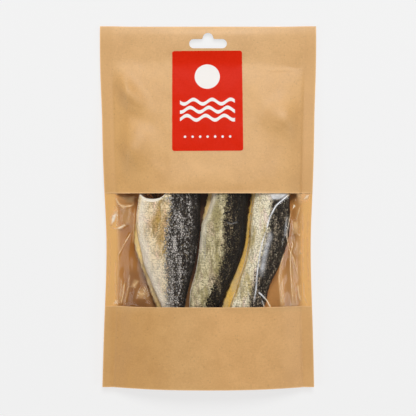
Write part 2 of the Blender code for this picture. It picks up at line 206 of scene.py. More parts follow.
# %% The outline of the pouch, and grids that fit it
BOTTOM_Y, TOP_Y = -0.1507, 0.1507
WINDOW_LOW, WINDOW_HIGH = -0.0827, 0.0106
CLOSURE_Y = 0.1160  # where the two layers meet over the fish
HALF_WIDTH, WAIST_Y = 0.0905, -0.035
LEFT_SEAL, RIGHT_SEAL = 0.010, 0.009  # widths of the welded strips


def ease(t):
    """0 to 1 with level ends."""
    t = np.clip(t, 0.0, 1.0)
    return t * t * (3.0 - 2.0 * t)


def bell(distance, width):
    """1 at no distance, falling off softly on both sides."""
    return np.exp(-((distance / width) ** 2))


def half_width(side, y):
    """From the middle to the cut edge. The fish pull the sides in beside the window."""
    reach = np.where(y > WAIST_Y, 0.075, 0.095)
    waist = np.where(np.asarray(side) < 0, 0.0062, 0.0052)
    return HALF_WIDTH - waist / (1.0 + ((y - WAIST_Y) / reach) ** 2) * ease((0.130 - y) / 0.060)


def seal_width(x):
    return np.where(np.asarray(x) < 0, LEFT_SEAL, RIGHT_SEAL)


def stretched_grid(shares, rows, inset=0.0):
    """Places (x, y) on rows across the pouch. A share of -1 or 1 is its cut edge."""
    share, y = np.meshgrid(shares, rows)
    return share * (half_width(share, y) - inset), y


# %% [markdown]
# The heights come from the solid pouch and film, by rays dropped on a fine grid. The solid's film stands a
# little proud of its paper, so that step is taken off again.

# %% Drop rays on the solids
def tree_of(*names):
    """A search tree over the faces of these solids."""
    whole = bmesh.new()
    for name in names:
        whole.from_mesh(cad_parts[name].data)
    tree = BVHTree.FromBMesh(whole)
    whole.free()
    return tree


def heights_on(tree, x, y, down=True):
    """Height of the first face under each place, or over it when down is False. Gaps in a row are filled."""
    found = np.full(x.shape, np.nan)
    start, way = (0.2, Vector((0, 0, -1))) if down else (-0.1, Vector((0, 0, 1)))
    for at in np.ndindex(x.shape):
        hit = tree.ray_cast(Vector((x[at], y[at], start)), way)[0]
        if hit is not None:
            found[at] = hit.z
    for row in found:
        known = ~np.isnan(row)
        row[~known] = np.interp(np.flatnonzero(~known), np.flatnonzero(known), row[known])
    return found


SHARES, ROWS = np.linspace(-1, 1, 241), np.linspace(BOTTOM_Y, TOP_Y, 303)
FILM_OVER_PAPER = 0.00033  # how far the solid's film stands proud of its paper
RAY_INSET, ROW_INSET = 0.0012, 0.0002  # how far the rays stay inside the outline

grid_x, grid_y = stretched_grid(SHARES, np.clip(ROWS, BOTTOM_Y + ROW_INSET, TOP_Y - ROW_INSET), RAY_INSET)
raw_front = heights_on(tree_of("pouch", "window_film"), grid_x, grid_y)
raw_front[(ROWS > WINDOW_LOW) & (ROWS < WINDOW_HIGH)] -= FILM_OVER_PAPER
raw_back = heights_on(tree_of("pouch"), grid_x, grid_y, down=False)

# %% [markdown]
# The solid's faces are large, so the table of heights is blurred until they no longer show, more in the
# middle than near the welded sides, where the fold is sharp.

# %% Blur them, and read a height anywhere
def blurred(table, across, along=0):
    """Each height averaged with its neighbours across the pouch, then along it, so many times over."""
    for axis, rounds in ((1, across), (0, along)):
        table = np.moveaxis(table.copy(), axis, 0)
        for _ in range(rounds):
            table[1:-1] = (table[:-2] + 2 * table[1:-1] + table[2:]) / 4
        table = np.moveaxis(table, 0, axis)
    return table


TWO_PLIES = 0.0008
BLUR_MIDDLE, BLUR_SIDES, BLUR_BACK = (60, 30), (5, 25), (12, 20)  # rounds across and along
MEAN_HALF, MEAN_SEAL = 0.09, 0.0095  # half the pouch and one weld, about

from_seal = (1 - np.abs(SHARES))[None, :] * MEAN_HALF - MEAN_SEAL
wide, narrow = blurred(raw_front, *BLUR_MIDDLE), blurred(raw_front, *BLUR_SIDES)
front_table = narrow + (wide - narrow) * ease((from_seal - 0.002) / 0.014)
back_table = np.maximum(blurred(raw_back, *BLUR_BACK), 0.0)
welded = 1 - ease(from_seal / 0.0015)
front_table = np.maximum(front_table, back_table + TWO_PLIES)
front_table = front_table * (1 - welded) + (back_table + TWO_PLIES) * welded


def read(table, x, y):
    """A height from the table, between its grid points."""
    share = np.clip(x / half_width(x, y), -1, 1)
    column = (share + 1) / 2 * (len(SHARES) - 1)
    row = (np.clip(y, BOTTOM_Y, TOP_Y) - BOTTOM_Y) / (TOP_Y - BOTTOM_Y) * (len(ROWS) - 1)
    i, j = np.minimum(row.astype(int), len(ROWS) - 2), np.minimum(column.astype(int), len(SHARES) - 2)
    a, b = row - i, column - j
    low = table[i, j] * (1 - b) + table[i, j + 1] * b
    high = table[i + 1, j] * (1 - b) + table[i + 1, j + 1] * b
    return low * (1 - a) + high * a


print("front of the pouch, highest in mm:", round(1000 * front_table.max(), 2))

# %% [markdown]
# ## Sheets with a thickness
# Paper and film are made the same way: two grids of points, the upper and the lower face, joined by a wall
# round the edge. That gives a closed shell whose faces all point outwards, which a renderer and a printer
# can both use. A value can be stored on each point too, for a material to read later.

# %% Build a sheet from two height fields
def mesh_object(name, points, faces):
    mesh = bpy.data.meshes.new(name)
    mesh.from_pydata(points, [], faces)
    mesh.validate()
    return link(name, mesh)


def points_of(made):
    """x, y and z of every point of a mesh."""
    return np.array([vertex.co[:] for vertex in made.data.vertices]).T


def store(made, name, values):
    """Keeps one number, or three, on each point of the mesh."""
    values = np.asarray(values, np.float32)
    kind, field = ("FLOAT", "value") if values.ndim == 1 else ("FLOAT_VECTOR", "vector")
    made.data.attributes.new(name, kind, "POINT").data.foreach_set(field, values.ravel())


def smooth(made):
    made.data.shade_smooth()
    made.data.set_sharp_from_angle(angle=math.radians(50))


def sheet(name, x, y, top, low):
    """A closed shell between two height fields over the same grid of places."""
    rows, columns = x.shape
    count = rows * columns
    points = np.concatenate([np.stack([x, y, z], -1).reshape(-1, 3) for z in (top, low)])
    index = np.arange(count).reshape(rows, columns)
    squares = np.stack([index[:-1, :-1], index[:-1, 1:], index[1:, 1:], index[1:, :-1]], -1).reshape(-1, 4)
    loop = np.concatenate([index[0, :-1], index[:-1, -1], index[-1, :0:-1], index[:0:-1, 0]])
    after = np.roll(loop, -1)
    walls = np.stack([after, loop, loop + count, after + count], -1)
    faces = np.concatenate([squares, squares[:, ::-1] + count, walls])
    made = mesh_object(name, points.tolist(), faces.tolist())
    smooth(made)
    return made


def finish_mesh(made):
    """Turns the object with its modifiers into a plain mesh."""
    graph = bpy.context.evaluated_depsgraph_get()
    mesh = bpy.data.meshes.new_from_object(made.evaluated_get(graph))
    made.modifiers.clear()
    made.data = mesh


def boolean(target, operation, outline, reach=0.05):
    """Cuts the target with an upright prism over this outline, or keeps only what is inside it."""
    shape = bmesh.new()
    base = shape.faces.new([shape.verts.new((x, y, -reach)) for x, y in outline])
    lifted = bmesh.ops.extrude_face_region(shape, geom=[base])["geom"]
    lifted = [v for v in lifted if isinstance(v, bmesh.types.BMVert)]
    bmesh.ops.translate(shape, vec=(0, 0, 2 * reach), verts=lifted)
    bmesh.ops.recalc_face_normals(shape, faces=shape.faces)
    mesh = bpy.data.meshes.new("prism")
    shape.to_mesh(mesh)
    shape.free()
    prism = link("prism", mesh)
    modifier = target.modifiers.new("cut", "BOOLEAN")
    modifier.operation, modifier.object, modifier.solver = operation, prism, "EXACT"
    finish_mesh(target)
    bpy.data.objects.remove(prism)


# %% [markdown]
# ## Creases and dents
# Handled paper is never flat. Each dent is a soft hollow with a place, a length, a width and a turn. A crease
# is a line with a narrow ridge along it. They are real height, so they catch the light from every side.

# %% Hollows and lines on the pack
def hollow(x, y, column, row, length, width, turn, depth):
    """A soft oval hollow at a pixel of the picture. Sizes are in mm."""
    cx, cy = seen(column, row)
    a = math.radians(turn)
    u = ((x - cx) * math.cos(a) + (y - cy) * math.sin(a)) * 1000 / length
    v = (-(x - cx) * math.sin(a) + (y - cy) * math.cos(a)) * 1000 / width
    return -depth / 1000 * np.exp(-(u**2) - v**2)


def beside_line(x, y, pixels, height=PAPER_AT):
    """Signed distance in mm from a line through these pixels, and how far along it, 0 to 1."""
    places = places_of(pixels, height)
    lengths = np.hypot(*np.diff(places, axis=0).T)
    starts = np.concatenate([[0], np.cumsum(lengths)])
    best = np.full(x.shape, 1e9)
    signed, along = np.zeros(x.shape), np.zeros(x.shape)
    for (ax, ay), (bx, by), size, start in zip(places[:-1], places[1:], lengths, starts):
        t = np.clip(((x - ax) * (bx - ax) + (y - ay) * (by - ay)) / size**2, 0, 1)
        dx, dy = x - ax - t * (bx - ax), y - ay - t * (by - ay)
        gap = np.hypot(dx, dy)
        side = np.sign((bx - ax) * dy - (by - ay) * dx)
        near = gap < best
        best[near] = gap[near]
        signed[near] = (gap * side)[near] * 1000
        along[near] = ((start + t * size) / starts[-1])[near]
    return signed, along


def tapered(along, end=0.15):
    """1 along a line, falling to 0 at both ends."""
    return ease(along / end) * ease((1 - along) / end)


def lumpy(points, size, seed):
    """Smooth random bumps between -1 and 1, of about this size."""
    shift = Vector((seed * 7.3, seed * 3.1, seed * 5.7))
    heights = [noise.noise(Vector(p) / size + shift) for p in points.reshape(-1, 3)]
    return np.reshape(heights, points.shape[:-1])


PAPER_HOLLOWS = (
    # column, row, length, width, turn, depth; a negative depth is a swelling
    (124, 90, 20, 9.0, -44, -6.2),
    (129, 150, 15, 12.5, -42, -6.0),
    (137, 133, 15, 9, -42, -2.6),
    (284, 117, 15, 13.0, -24, -5.4),
    (297, 63, 13, 4.5, 0, 0.8),
    (124, 70, 15, 10, -10, -0.7),
    (258, 92, 10, 16, 20, -0.8),
    (200, 178, 45, 10, 0, -0.5),
    (299, 160, 9, 24, 0, -0.9),
    (124, 184, 20, 8, 0, 0.5),
    (238, 330, 40, 16, 20, -0.6),
    (132, 303, 24, 36, 0, -1.8),
    (112, 372, 14, 18, 0, -0.5),
    (280, 350, 18, 22, 0, -0.5),
)
PAPER_CREASES = (
    # ridge height in mm, ridge width in mm, columns and rows of its line
    (0.3, 1.0, (262, 68, 275, 67.6, 290, 67.4, 304, 67.0)),
    (0.12, 0.9, (108, 66, 122, 67, 140, 66)),
    (-0.28, 1.3, (113, 84, 119, 93, 128, 102, 142, 110)),
    (-0.22, 1.2, (270, 121, 281, 125, 293, 133)),
    (-0.2, 1.4, (122, 142, 129, 154, 133, 170)),
    (0.12, 1.6, (262, 78, 272, 88, 279, 101)),
    (0.14, 1.6, (119, 118, 128, 131, 133, 139)),
    (-0.14, 2.2, (112, 320, 124, 338, 130, 360)),
)
WAVINESS = 0.00022  # handled paper waves a little everywhere
TOP_ROLL, TOP_ROLL_START = 0.0020, 0.0075  # how high the top leans, and how far from its edge it turns back


def paper_relief(x, y):
    height = sum(hollow(x, y, *dent) for dent in PAPER_HOLLOWS)
    for ridge, width, pixels in PAPER_CREASES:
        away, along = beside_line(x, y, pixels)
        height = height + ridge / 1000 * bell(away, width) * tapered(along, 0.25)
    places = np.stack([x, y * 0.8, np.zeros_like(x)], -1)
    height = height + WAVINESS * lumpy(places, 0.0095, 3)
    height += WAVINESS * 0.4 * lumpy(places, 0.0045, 4)
    inside = ease((half_width(x, y) - seal_width(x) - np.abs(x)) / 0.013)
    return height * inside * ease((TOP_Y - 0.006 - y) / 0.02)


def top_roll(x, y):
    """Both layers lean forward over the closure, and roll back at the top edge, most in the middle."""
    crest = TOP_Y - TOP_ROLL_START
    rise = ease((y - CLOSURE_Y - 0.002) / (crest - CLOSURE_Y - 0.002))
    fall = np.clip((y - crest) / TOP_ROLL_START, 0, 1)
    spread = 0.30 + 0.70 * bell(x, 0.055)
    return TOP_ROLL * spread * rise * (1 - fall**1.7)


def dented(x, y):
    """Height of the front paper with its dents. No dent reaches through to the back."""
    shaped = np.maximum(read(front_table, x, y) + paper_relief(x, y), read(back_table, x, y) + TWO_PLIES)
    return shaped + top_roll(x, y)


# %% [markdown]
# ## The paper of the pouch
# The hang slot goes through both layers at the top. It is a bar with round ends and a hump in its middle, so
# that the pack hangs level on a hook. Arcs of circles draw it exactly.

# %% Slot outline
SLOT_LENGTH, SLOT_HEIGHT, SLOT_FROM_TOP = 0.0316, 0.0077, 0.0145
HUMP_RADIUS, HUMP_RISE, HUMP_FILLET = 0.0044, 0.0051, 0.0015


def arc(centre, radius, start, end, steps):
    angles = np.radians(np.linspace(start, end, steps))
    return [(centre[0] + radius * math.cos(a), centre[1] + radius * math.sin(a)) for a in angles]


def slot_outline():
    """The right half from arcs, and the left half as its mirror image."""
    middle, radius = TOP_Y - SLOT_FROM_TOP, SLOT_HEIGHT / 2
    hump = (0.0, middle + radius + HUMP_RISE - HUMP_RADIUS)
    fall = middle + radius + HUMP_FILLET - hump[1]
    fillet = (math.sqrt((HUMP_RADIUS + HUMP_FILLET) ** 2 - fall**2), middle + radius + HUMP_FILLET)
    towards = math.degrees(math.atan2(fall, fillet[0]))
    right = arc((SLOT_LENGTH / 2 - radius, middle), radius, -90, 90, 25)
    right += arc(fillet, HUMP_FILLET, -90, -180 + towards, 9)
    right += arc(hump, HUMP_RADIUS, towards, 90, 21)[1:]
    return right + [(-x, y) for x, y in reversed(right[:-1])]


# %% [markdown]
# The pouch is welded from a back sheet, two front sheets above and below the window, and a strip folded into
# the base. Near a cut edge the grid is finer, so that the edge can lift a little and catch the light, and its
# painted highlight can be narrow. Three marks are stored on the points: near a cut edge, near the inner line
# of the weld, and in the weld.

# %% Cut the sheets
PAPER, LIFT = 0.00032, 0.00022  # its thickness, and how far a free edge stands up
FINE_ROWS = (0.00015, 0.0003, 0.0005, 0.0007)


def rows_between(low, high, step):
    """Rows a step apart, with finer ones beside both edges."""
    rows = list(np.linspace(low, high, round((high - low) / step) + 1))
    return np.array(sorted(rows + [low + e for e in FINE_ROWS] + [high - e for e in FINE_ROWS]))


def front_sheet(name, low, high, free_edge):
    x, y = stretched_grid(np.linspace(-1, 1, 191), rows_between(low, high, 0.00105))
    sides = ease((half_width(x, y) - np.abs(x)) / 0.012)
    top = dented(x, y) + LIFT * bell(np.abs(y - free_edge), 0.0011) * sides
    return sheet(name, x, y, top, top - PAPER)


def mark(made, low, high, soft=0.0008):
    """Stored after any cut, because a cut makes new points."""
    x, y, _ = points_of(made)
    side = half_width(np.sign(x), y) - np.abs(x)
    edge = bell(np.minimum(np.minimum(y - low, high - y), side), 0.0006)
    seam = bell(side - seal_width(x), 0.0007)
    store(made, "marks", np.stack([edge, seam, ease((seal_width(x) - side) / soft + 0.5)], -1))


upper_front = front_sheet("upper_front_paper", WINDOW_HIGH, TOP_Y, WINDOW_HIGH)
lower_front = front_sheet("lower_front_paper", BOTTOM_Y, WINDOW_LOW, WINDOW_LOW)
x, y = stretched_grid(np.linspace(-1, 1, 151), rows_between(BOTTOM_Y, TOP_Y, 0.0016))
underside = read(back_table, x, y) + top_roll(x, y)
back_paper = sheet("back_paper", x, y, underside + PAPER, underside)
for cut_sheet in (upper_front, back_paper):
    boolean(cut_sheet, "DIFFERENCE", slot_outline())
    print(cut_sheet.name, len(cut_sheet.data.polygons), "faces")
mark(upper_front, WINDOW_HIGH, TOP_Y)
mark(lower_front, BOTTOM_Y, WINDOW_LOW)
mark(back_paper, BOTTOM_Y, TOP_Y, soft=0.0045)

# %% [markdown]
# A stand-up pouch has a strip of paper folded into its base. Lying flat, the fold is a thin pocket that is
# open at the bottom edge: from the front's edge in to the fold, and back out to the back's edge.

# %% Fold the base in
GUSSET_DEPTH, GUSSET_SHARE, GUSSET_SKIN = 0.025, 0.985, 0.00026  # how deep, share of the width, thickness
GUSSET_START, GUSSET_GAP = 0.0003, 0.00008  # from the bottom edge, and from the sheets over and under it
HAIR = 0.00001  # the leaves don't touch where they meet


def base_fold():
    """Places of the strip, its outer and its inner face. The first half of the rows is the front leaf."""
    steps = np.concatenate([np.linspace(0, 1, 26), np.linspace(1, 2, 26)[1:]])
    share, step = np.meshgrid(np.linspace(-GUSSET_SHARE, GUSSET_SHARE, 121), steps)
    on_top = step < 1
    depth = np.where(on_top, step, 2 - step)
    y = BOTTOM_Y + GUSSET_START + (GUSSET_DEPTH - GUSSET_START) * depth
    x = share * (half_width(share, y) - seal_width(share))
    upper = read(front_table, x, y) - PAPER - GUSSET_GAP
    lower = read(back_table, x, y) + PAPER + GUSSET_GAP
    middle, close = (upper + lower) / 2, depth**1.35
    outer = np.where(on_top, upper + (middle - upper) * close, lower + (middle - lower) * close)
    skin = np.minimum(GUSSET_SKIN, (upper - lower) * 0.42)
    return x, y, outer, np.where(on_top, outer - skin, outer + skin)


x, y, outer, inner = base_fold()
front_leaf, back_leaf = slice(0, len(x) // 2 + 1), slice(None, len(x) // 2 - 1, -1)
top_leaf = sheet("base_fold_front", *(v[front_leaf] for v in (x, y, outer, inner)))
x, y, outer, inner = (v[back_leaf] for v in (x, y, outer, inner))
low_leaf = sheet("base_fold_back", x, y, inner + 2 * HAIR, outer + HAIR)
for leaf in (top_leaf, low_leaf):
    shape = bmesh.new()
    shape.from_mesh(leaf.data)
    bmesh.ops.recalc_face_normals(shape, faces=shape.faces)
    shape.to_mesh(leaf.data)
    shape.free()
    store(leaf, "marks", np.zeros((len(leaf.data.vertices), 3)))

# %% [markdown]
# ## The fish
# Each fish is a loft: rings across the body, one for each place along it, from nearly the same stations as
# the solid. The values with it say where its marks and patches lie in the picture. The pale sides, the dark
# backs and the golden edges all follow from them.

# %% The three fish
FISH = {
    # stations: y, belly x and back x in metres, in turn. flap: row, and the upper flap's inset in mm
    # shade: where the painted shade of the gap beside the next fish starts, as a share of the width. neck:
    # balls that cut it
    # border: pixels between the light side and the dark back. olive: how mossy the side is all over
    # moss, dusk, shine, pale: mossy, dark, silvery and pale spots; shine gathers painted glints. silver:
    # shiny stripes of painted glints, share and spread
    # stain: on the flesh, from a row to a row, how much all over and how much at its edge
    "fish_left": {
        "stations": (
            0.05, -0.0488, -0.01, 0.03, -0.053, -0.0072, 0.01, -0.0569, -0.0067, -0.013, -0.0603, -0.0066,
            -0.028, -0.0617, -0.0082, -0.043, -0.0584, -0.0104, -0.058, -0.0531, -0.0138,
            -0.0795, -0.0454, -0.0188, -0.1, -0.0373, -0.021, -0.119, -0.0333, -0.0215,
        ),
        "thickness": 0.017, "shade": 0.86, "neck_start": -0.006,
        "flap": (190, 0.3, 215, 0.5, 225, 1.5, 236, 4.2, 244, 5.6, 252, 5.2, 262, 4.2, 272, 3.9, 284, 4.4,
            297, 5.2, 306, 5.4, 345, 3.0),
        "border": (168, 190, 169.5, 205, 166.5, 222, 164.5, 240, 165, 255, 165, 270, 165.8, 285, 164, 310),
        "neck": ((-0.046, 0.017, 0.0132, 0.0142), (-0.048, 0.064, 0.048, 0.052)),
        "olive": 0.14,
        "moss": ((161, 238, 5.5, 20.0, 1.0), (157, 222, 9.0, 15.0, 1.0), (145, 236, 5.0, 14.0, 0.8)),
        "dusk": ((164, 197, 6.0, 7.0, 0.52),),
        "shine": ((173.5, 242, 4.6, 21.0, 1.35), (171, 200, 4.6, 7.0, 0.9)),
        "pale": ((156, 276, 8.5, 18.0, 0.45),),
        "silver": ((0.6, 0.055), (0.755, 0.05)),
        "stain": (254, 302, 0.55, 0.55),
    },
    "fish_middle": {
        "stations": (
            0.05, 0.0034, 0.0303, 0.03, 0.0004, 0.0325, 0.01, -0.0004, 0.0328, -0.012, -0.0052, 0.0321,
            -0.036, -0.0075, 0.0293, -0.054, -0.0103, 0.0231, -0.07, -0.0146, 0.0155,
            -0.085, -0.0158, 0.0095, -0.101, -0.0171, 0.0028, -0.119, -0.0176, -0.0047,
        ),
        "thickness": 0.0172, "shade": 0.78, "neck_start": 0.008,
        "flap": (185, 4.4, 200, 4.2, 214, 3.4, 224, 1.0, 234, 0.4, 345, 0.4),
        "border": (226, 190, 224, 205, 222.5, 225, 222.3, 245, 219.5, 265, 211.5, 285, 202.5, 310),
        "neck": ((0.006, 0.06, 0.04, 0.042),),
        "olive": 0.5,
        "moss": ((216, 215, 7.0, 22.0, 1.0), (216, 262, 5.0, 22.0, 1.0), (203, 294, 7.0, 14.0, 1.0)),
        "dusk": ((219, 196, 5.5, 7.0, 0.46), (210, 283, 5.0, 9.0, 0.36)),
        "shine": ((219, 283, 6.0, 10.0, 0.45),),
        "pale": (),
        "silver": (),
        "stain": (185, 240, 0.2, 0.3),
    },
    "fish_right": {
        "stations": (
            0.05, 0.0392, 0.0632, 0.03, 0.0377, 0.0667, 0.01, 0.0357, 0.0674, -0.012, 0.0324, 0.068,
            -0.035, 0.0292, 0.0642, -0.05, 0.0242, 0.0588, -0.065, 0.0182, 0.0514, -0.084, 0.0112, 0.0467,
            -0.102, 0.0087, 0.0387, -0.119, 0.0082, 0.0242,
        ),
        "thickness": 0.016, "shade": 0.93, "neck_start": 0.008,
        "flap": (190, 2.0, 212, 2.2, 235, 3.3, 250, 3.6, 262, 5.0, 275, 5.6, 290, 7.0, 306, 7.0, 345, 3.0),
        "border": (273, 190, 270, 205, 268, 222, 266, 236, 263.5, 248, 258.5, 262, 251.5, 285, 246, 310),
        "neck": ((0.044, 0.06, 0.04, 0.04),),
        "olive": 0.3,
        "moss": ((251, 240, 4.0, 9.0, 1.0), (247, 283, 6.0, 14.0, 1.0)),
        "dusk": ((281, 197, 3.5, 5.0, 0.5),),
        "shine": (),
        "pale": ((277, 194, 8.5, 2.6, 1.0),),
        "silver": ((0.66, 0.05),),
        "stain": (185, 320, 0.03, 0.2),
    },
}
# the lowest height, the share of the thickness that is under the belly line, how thickness follows width,
# and how much higher the back is than the belly
FISH_LOW, FISH_MIDDLE, FISH_SLENDER, FISH_SKEW = 0.0007, 0.45, 0.75, -0.03
# powers that shape a ring at its top, belly and underside, and the tail's end, which starts at this share
TOP_ROUND, BELLY_ROUND, LOW_ROUND, TAIL_ROUND, ROUND_OFF = 0.80, 0.50, 0.70, 0.34, 0.083
UNDER_FILM = 0.0011  # how far the fish stay under the face of the pouch


def smooth_through(at, places, values):
    """A curve through the stations that doesn't overshoot them."""
    order = np.argsort(places)
    x, y = np.asarray(places, float)[order], np.asarray(values, float)[order]
    gap, rise = np.diff(x), np.diff(y) / np.diff(x)
    slope = np.concatenate([[rise[0]], (rise[:-1] + rise[1:]) / 2, [rise[-1]]])
    slope[np.concatenate([[False], rise[:-1] * rise[1:] <= 0, [False]])] = 0
    k = np.clip(np.searchsorted(x, at) - 1, 0, len(gap) - 1)
    t = np.clip((at - x[k]) / gap[k], 0, 1)
    start = y[k] * (1 + 2 * t) * (1 - t) ** 2 + slope[k] * gap[k] * t * (1 - t) ** 2
    return start + y[k + 1] * t * t * (3 - 2 * t) - slope[k + 1] * gap[k] * t * t * (1 - t)


def sizes_at(fish, y):
    """Belly x, back x, height of the belly line, thickness over and under it, inset, and 0 at the ends."""
    places, belly, back = np.reshape(fish["stations"], (-1, 3)).T
    head, tail = places.max(), places.min()
    along = np.clip((y - tail) / (head - tail), 0, 1)
    ends = np.clip(along * (1 - along) / ROUND_OFF, 0, 1) ** TAIL_ROUND
    low, high = smooth_through(y, places, belly), smooth_through(y, places, back)
    middle, half = (low + high) / 2, (high - low) / 2 * ends
    low, high = middle - half, middle + half
    thick = fish["thickness"] * ((high - low) / (back - belly).max()) ** FISH_SLENDER
    rows, insets = np.reshape(fish["flap"], (-1, 2)).T
    places = np.array([seen(0, row)[1] for row in rows])
    inset = np.interp(y, places[::-1], insets[::-1]) / 1000 * ends
    below_it = thick * FISH_MIDDLE
    return low, high, FISH_LOW + below_it, thick * (1 - FISH_MIDDLE), below_it, inset, ends


# %% [markdown]
# A headless, gutted fish is open along its belly. So the ring starts at the back, goes over the upper skin to
# the belly, and ends there in a lip. It turns in under the lip, comes out again as the lower flap, which
# shows its golden flesh outside the upper one, and goes back round the underside.

# %% The ring across the body
TURNS_TOP = np.radians(np.concatenate([np.linspace(0, 160, 76), np.linspace(162, 172, 6)]))
TURNS_LOW = np.radians(np.linspace(188, 356, 40))
TURNS_LIP = np.radians([30, 70, 110, 150, 180])
GO_IN = np.array([0.25, 0.5, 0.75, 1.0])
COME_OUT = np.array([0.15, 0.3, 0.45, 0.6, 0.7, 0.8, 0.9, 0.97])
SKIN, LIP, ROOF, FLAP, UNDERSIDE = range(5)
PARTS = np.repeat(range(5), [len(v) for v in (TURNS_TOP, TURNS_LIP, GO_IN, COME_OUT, TURNS_LOW)])
HALF_LIP, SLIT = 0.0007, 0.0050  # half the thickness of the lip, and how far the slit goes in


def ring_points(fish, y):
    """x and z round the body for rows of y, one y for each point of the ring."""
    top, last = slice(0, len(TURNS_TOP)), slice(len(TURNS_TOP) - 1, len(TURNS_TOP))
    sizes = sizes_at(fish, y)
    belly, back, middle, above, _, inset, _ = (v[:, top] for v in sizes)
    across, up = np.cos(TURNS_TOP), np.sin(TURNS_TOP)
    roundness = TOP_ROUND + (BELLY_ROUND - TOP_ROUND) * ease((0.3 - across) / 0.9)
    top_x = belly + (back - belly) * (across + 1) / 2 + inset * ((1 - across) / 2) ** 4
    top_z = middle + above * up**roundness * (1 + FISH_SKEW * across)
    top_y = np.broadcast_to(y, (len(y), len(PARTS)))[:, top]
    top_z = np.minimum(top_z, read(front_table, top_x, top_y) - UNDER_FILM)
    belly, _, middle, _, _, _, ends = (v[:, last] for v in sizes)
    edge_x = top_x[:, -1:] - (HALF_LIP * np.sin(TURNS_LIP) * 0.9 - HALF_LIP * 0.3) * ends
    edge_z = top_z[:, -1:] - HALF_LIP * (1 - np.cos(TURNS_LIP)) * ends
    in_x = edge_x[:, -1:] + SLIT * GO_IN * ends
    in_z = middle + (edge_z[:, -1:] - middle) * (1 - GO_IN) + 0.0001
    start = in_x[:, -1:]
    out_x = start + (belly + 0.0006 * ends - start) * COME_OUT
    out_z = middle - 0.0004 * ends + 0.0022 * ends * COME_OUT * (1.15 - 0.5 * COME_OUT)
    belly, back, middle, _, below_it, _, _ = (v[:, -len(TURNS_LOW) :] for v in sizes)
    low_x = belly + (back - belly) * (np.cos(TURNS_LOW) + 1) / 2
    low_z = middle - below_it * np.abs(np.sin(TURNS_LOW)) ** LOW_ROUND
    x = np.concatenate([top_x, edge_x, in_x, out_x, low_x], 1)
    return x, np.concatenate([top_z, edge_z, in_z, out_z, low_z], 1)


# %% [markdown]
# Dried skin isn't smooth. It sinks in along the body between the muscles, puckers in small creases, and has
# long shallow furrows in the back. The torn edge of the flesh is ragged.

# %% Relief of the dried skin
def ragged(y):
    """How far the torn edge of the flesh stands in or out, in metres."""
    return 0.00032 * np.sin(900 * y) + 0.00022 * np.sin(2150 * y + 1) + 0.00014 * np.sin(4900 * y + 2)


def dried_relief(points, seed):
    lengthwise = points * np.array([1.0, 0.22, 1.0])
    height = 0.00028 * lumpy(lengthwise, 0.0060, seed) + 0.00016 * lumpy(points, 0.0042, seed + 1)
    return height + 0.00010 * lumpy(lengthwise, 0.0016, seed + 2)


def grooves(share, y):
    wander = 0.10 * np.sin(55 * y + 1) + 0.05 * np.sin(140 * y)
    depth = ease((share - 0.48) / 0.12) * ease((0.97 - share) / 0.10)
    return 0.00034 * depth * np.sin(2 * np.pi * (7.5 * share + wander))


# %% [markdown]
# The head was cut off in a curve, and the belly behind the cut is empty. So the rings near the neck aren't
# flat: each point of the last one lies on a big ball's surface, which is the knife's path. Where that is
# depends on the ring's own shape, so it is found in a few rounds, each nearer than the one before.

# %% Where the knife went
WINDOW_ROWS = np.arange(WINDOW_LOW - 0.004, WINDOW_HIGH + 0.004, 0.0008)
NECK_END, NECK_ROWS = 0.034, 25  # where a ring ends that no ball cuts, and how many rings reach the cut
BALL_Z, BALL_TALL = 0.019, 0.030  # height of the balls' middle, and half their height
CUT_GUESS, CUT_ROUNDS, CUT_STEP = 0.012, 12, 0.6  # first guess, rounds, and share of the way in each


def knife(fish, x, z, upper):
    """y of the cut for points of a ring. The first hollow of two is only in the upper flap."""
    cut = np.full(x.shape, NECK_END)
    for number, (cx, cy, rx, ry) in enumerate(fish["neck"]):
        inside = 1 - ((x - cx) / rx) ** 2 - ((z - BALL_Z) / BALL_TALL) ** 2
        here = np.where(inside > 0, cy - ry * np.sqrt(np.clip(inside, 0, 1)), NECK_END)
        if number == 0 and len(fish["neck"]) > 1:
            here = np.where(upper, here, NECK_END)
        cut = np.minimum(cut, here)
    return cut


def rows_of(fish):
    """y of every point of every ring, from the tail to the cut."""
    tail, start = min(fish["stations"][::3]), fish["neck_start"]
    rear = np.arange(tail + 0.004, WINDOW_LOW - 0.005, 0.0018)
    caps = tail + np.array([0.00005, 0.0003, 0.0008, 0.0016, 0.0027])
    straight = np.concatenate([caps, rear, WINDOW_ROWS[WINDOW_ROWS < start]])
    cut = np.full((1, len(PARTS)), CUT_GUESS)
    for _ in range(CUT_ROUNDS):
        x, z = ring_points(fish, cut)
        goal = knife(fish, x, z, (PARTS <= LIP)[None, :])
        goal[:, PARTS == LIP] = goal[:, np.flatnonzero(PARTS == SKIN)[-1:]]
        goal[:, (PARTS == ROOF) | (PARTS == FLAP)] = goal[:, np.flatnonzero(PARTS == UNDERSIDE)[:1]]
        cut = cut + (goal - cut) * CUT_STEP
    cut = blurred(cut, 3)
    share = np.linspace(0, 1, NECK_ROWS + 1)[1:, None]
    return np.concatenate([np.repeat(straight[:, None], len(PARTS), 1), start + share * (cut - start)])


# %% [markdown]
# Colour is painted on the points as values, not as colours: how dark, how golden and how pale each one is,
# and how mossy, how silvery in painted glints, and how deep in the painted shade of the gap beside the next
# fish. The material mixes them later.

# %% Paint the skins
def spots(places, x, y):
    """Soft spots: pixel, half width and half length in mm, strength. The strongest at a place counts."""
    strength = np.zeros(x.shape)
    for column, row, wide, tall, amount in places:
        cx, cy = seen(column, row, FISH_AT)
        here = np.exp(-(((x - cx) * 1000 / wide) ** 2) - ((y - cy) * 1000 / tall) ** 2)
        strength = np.maximum(strength, amount * here)
    return strength


def below(row, y, soft):
    """0 above this row of the picture and 1 under it, with a soft step."""
    return ease((seen(0, row)[1] - y) / soft)


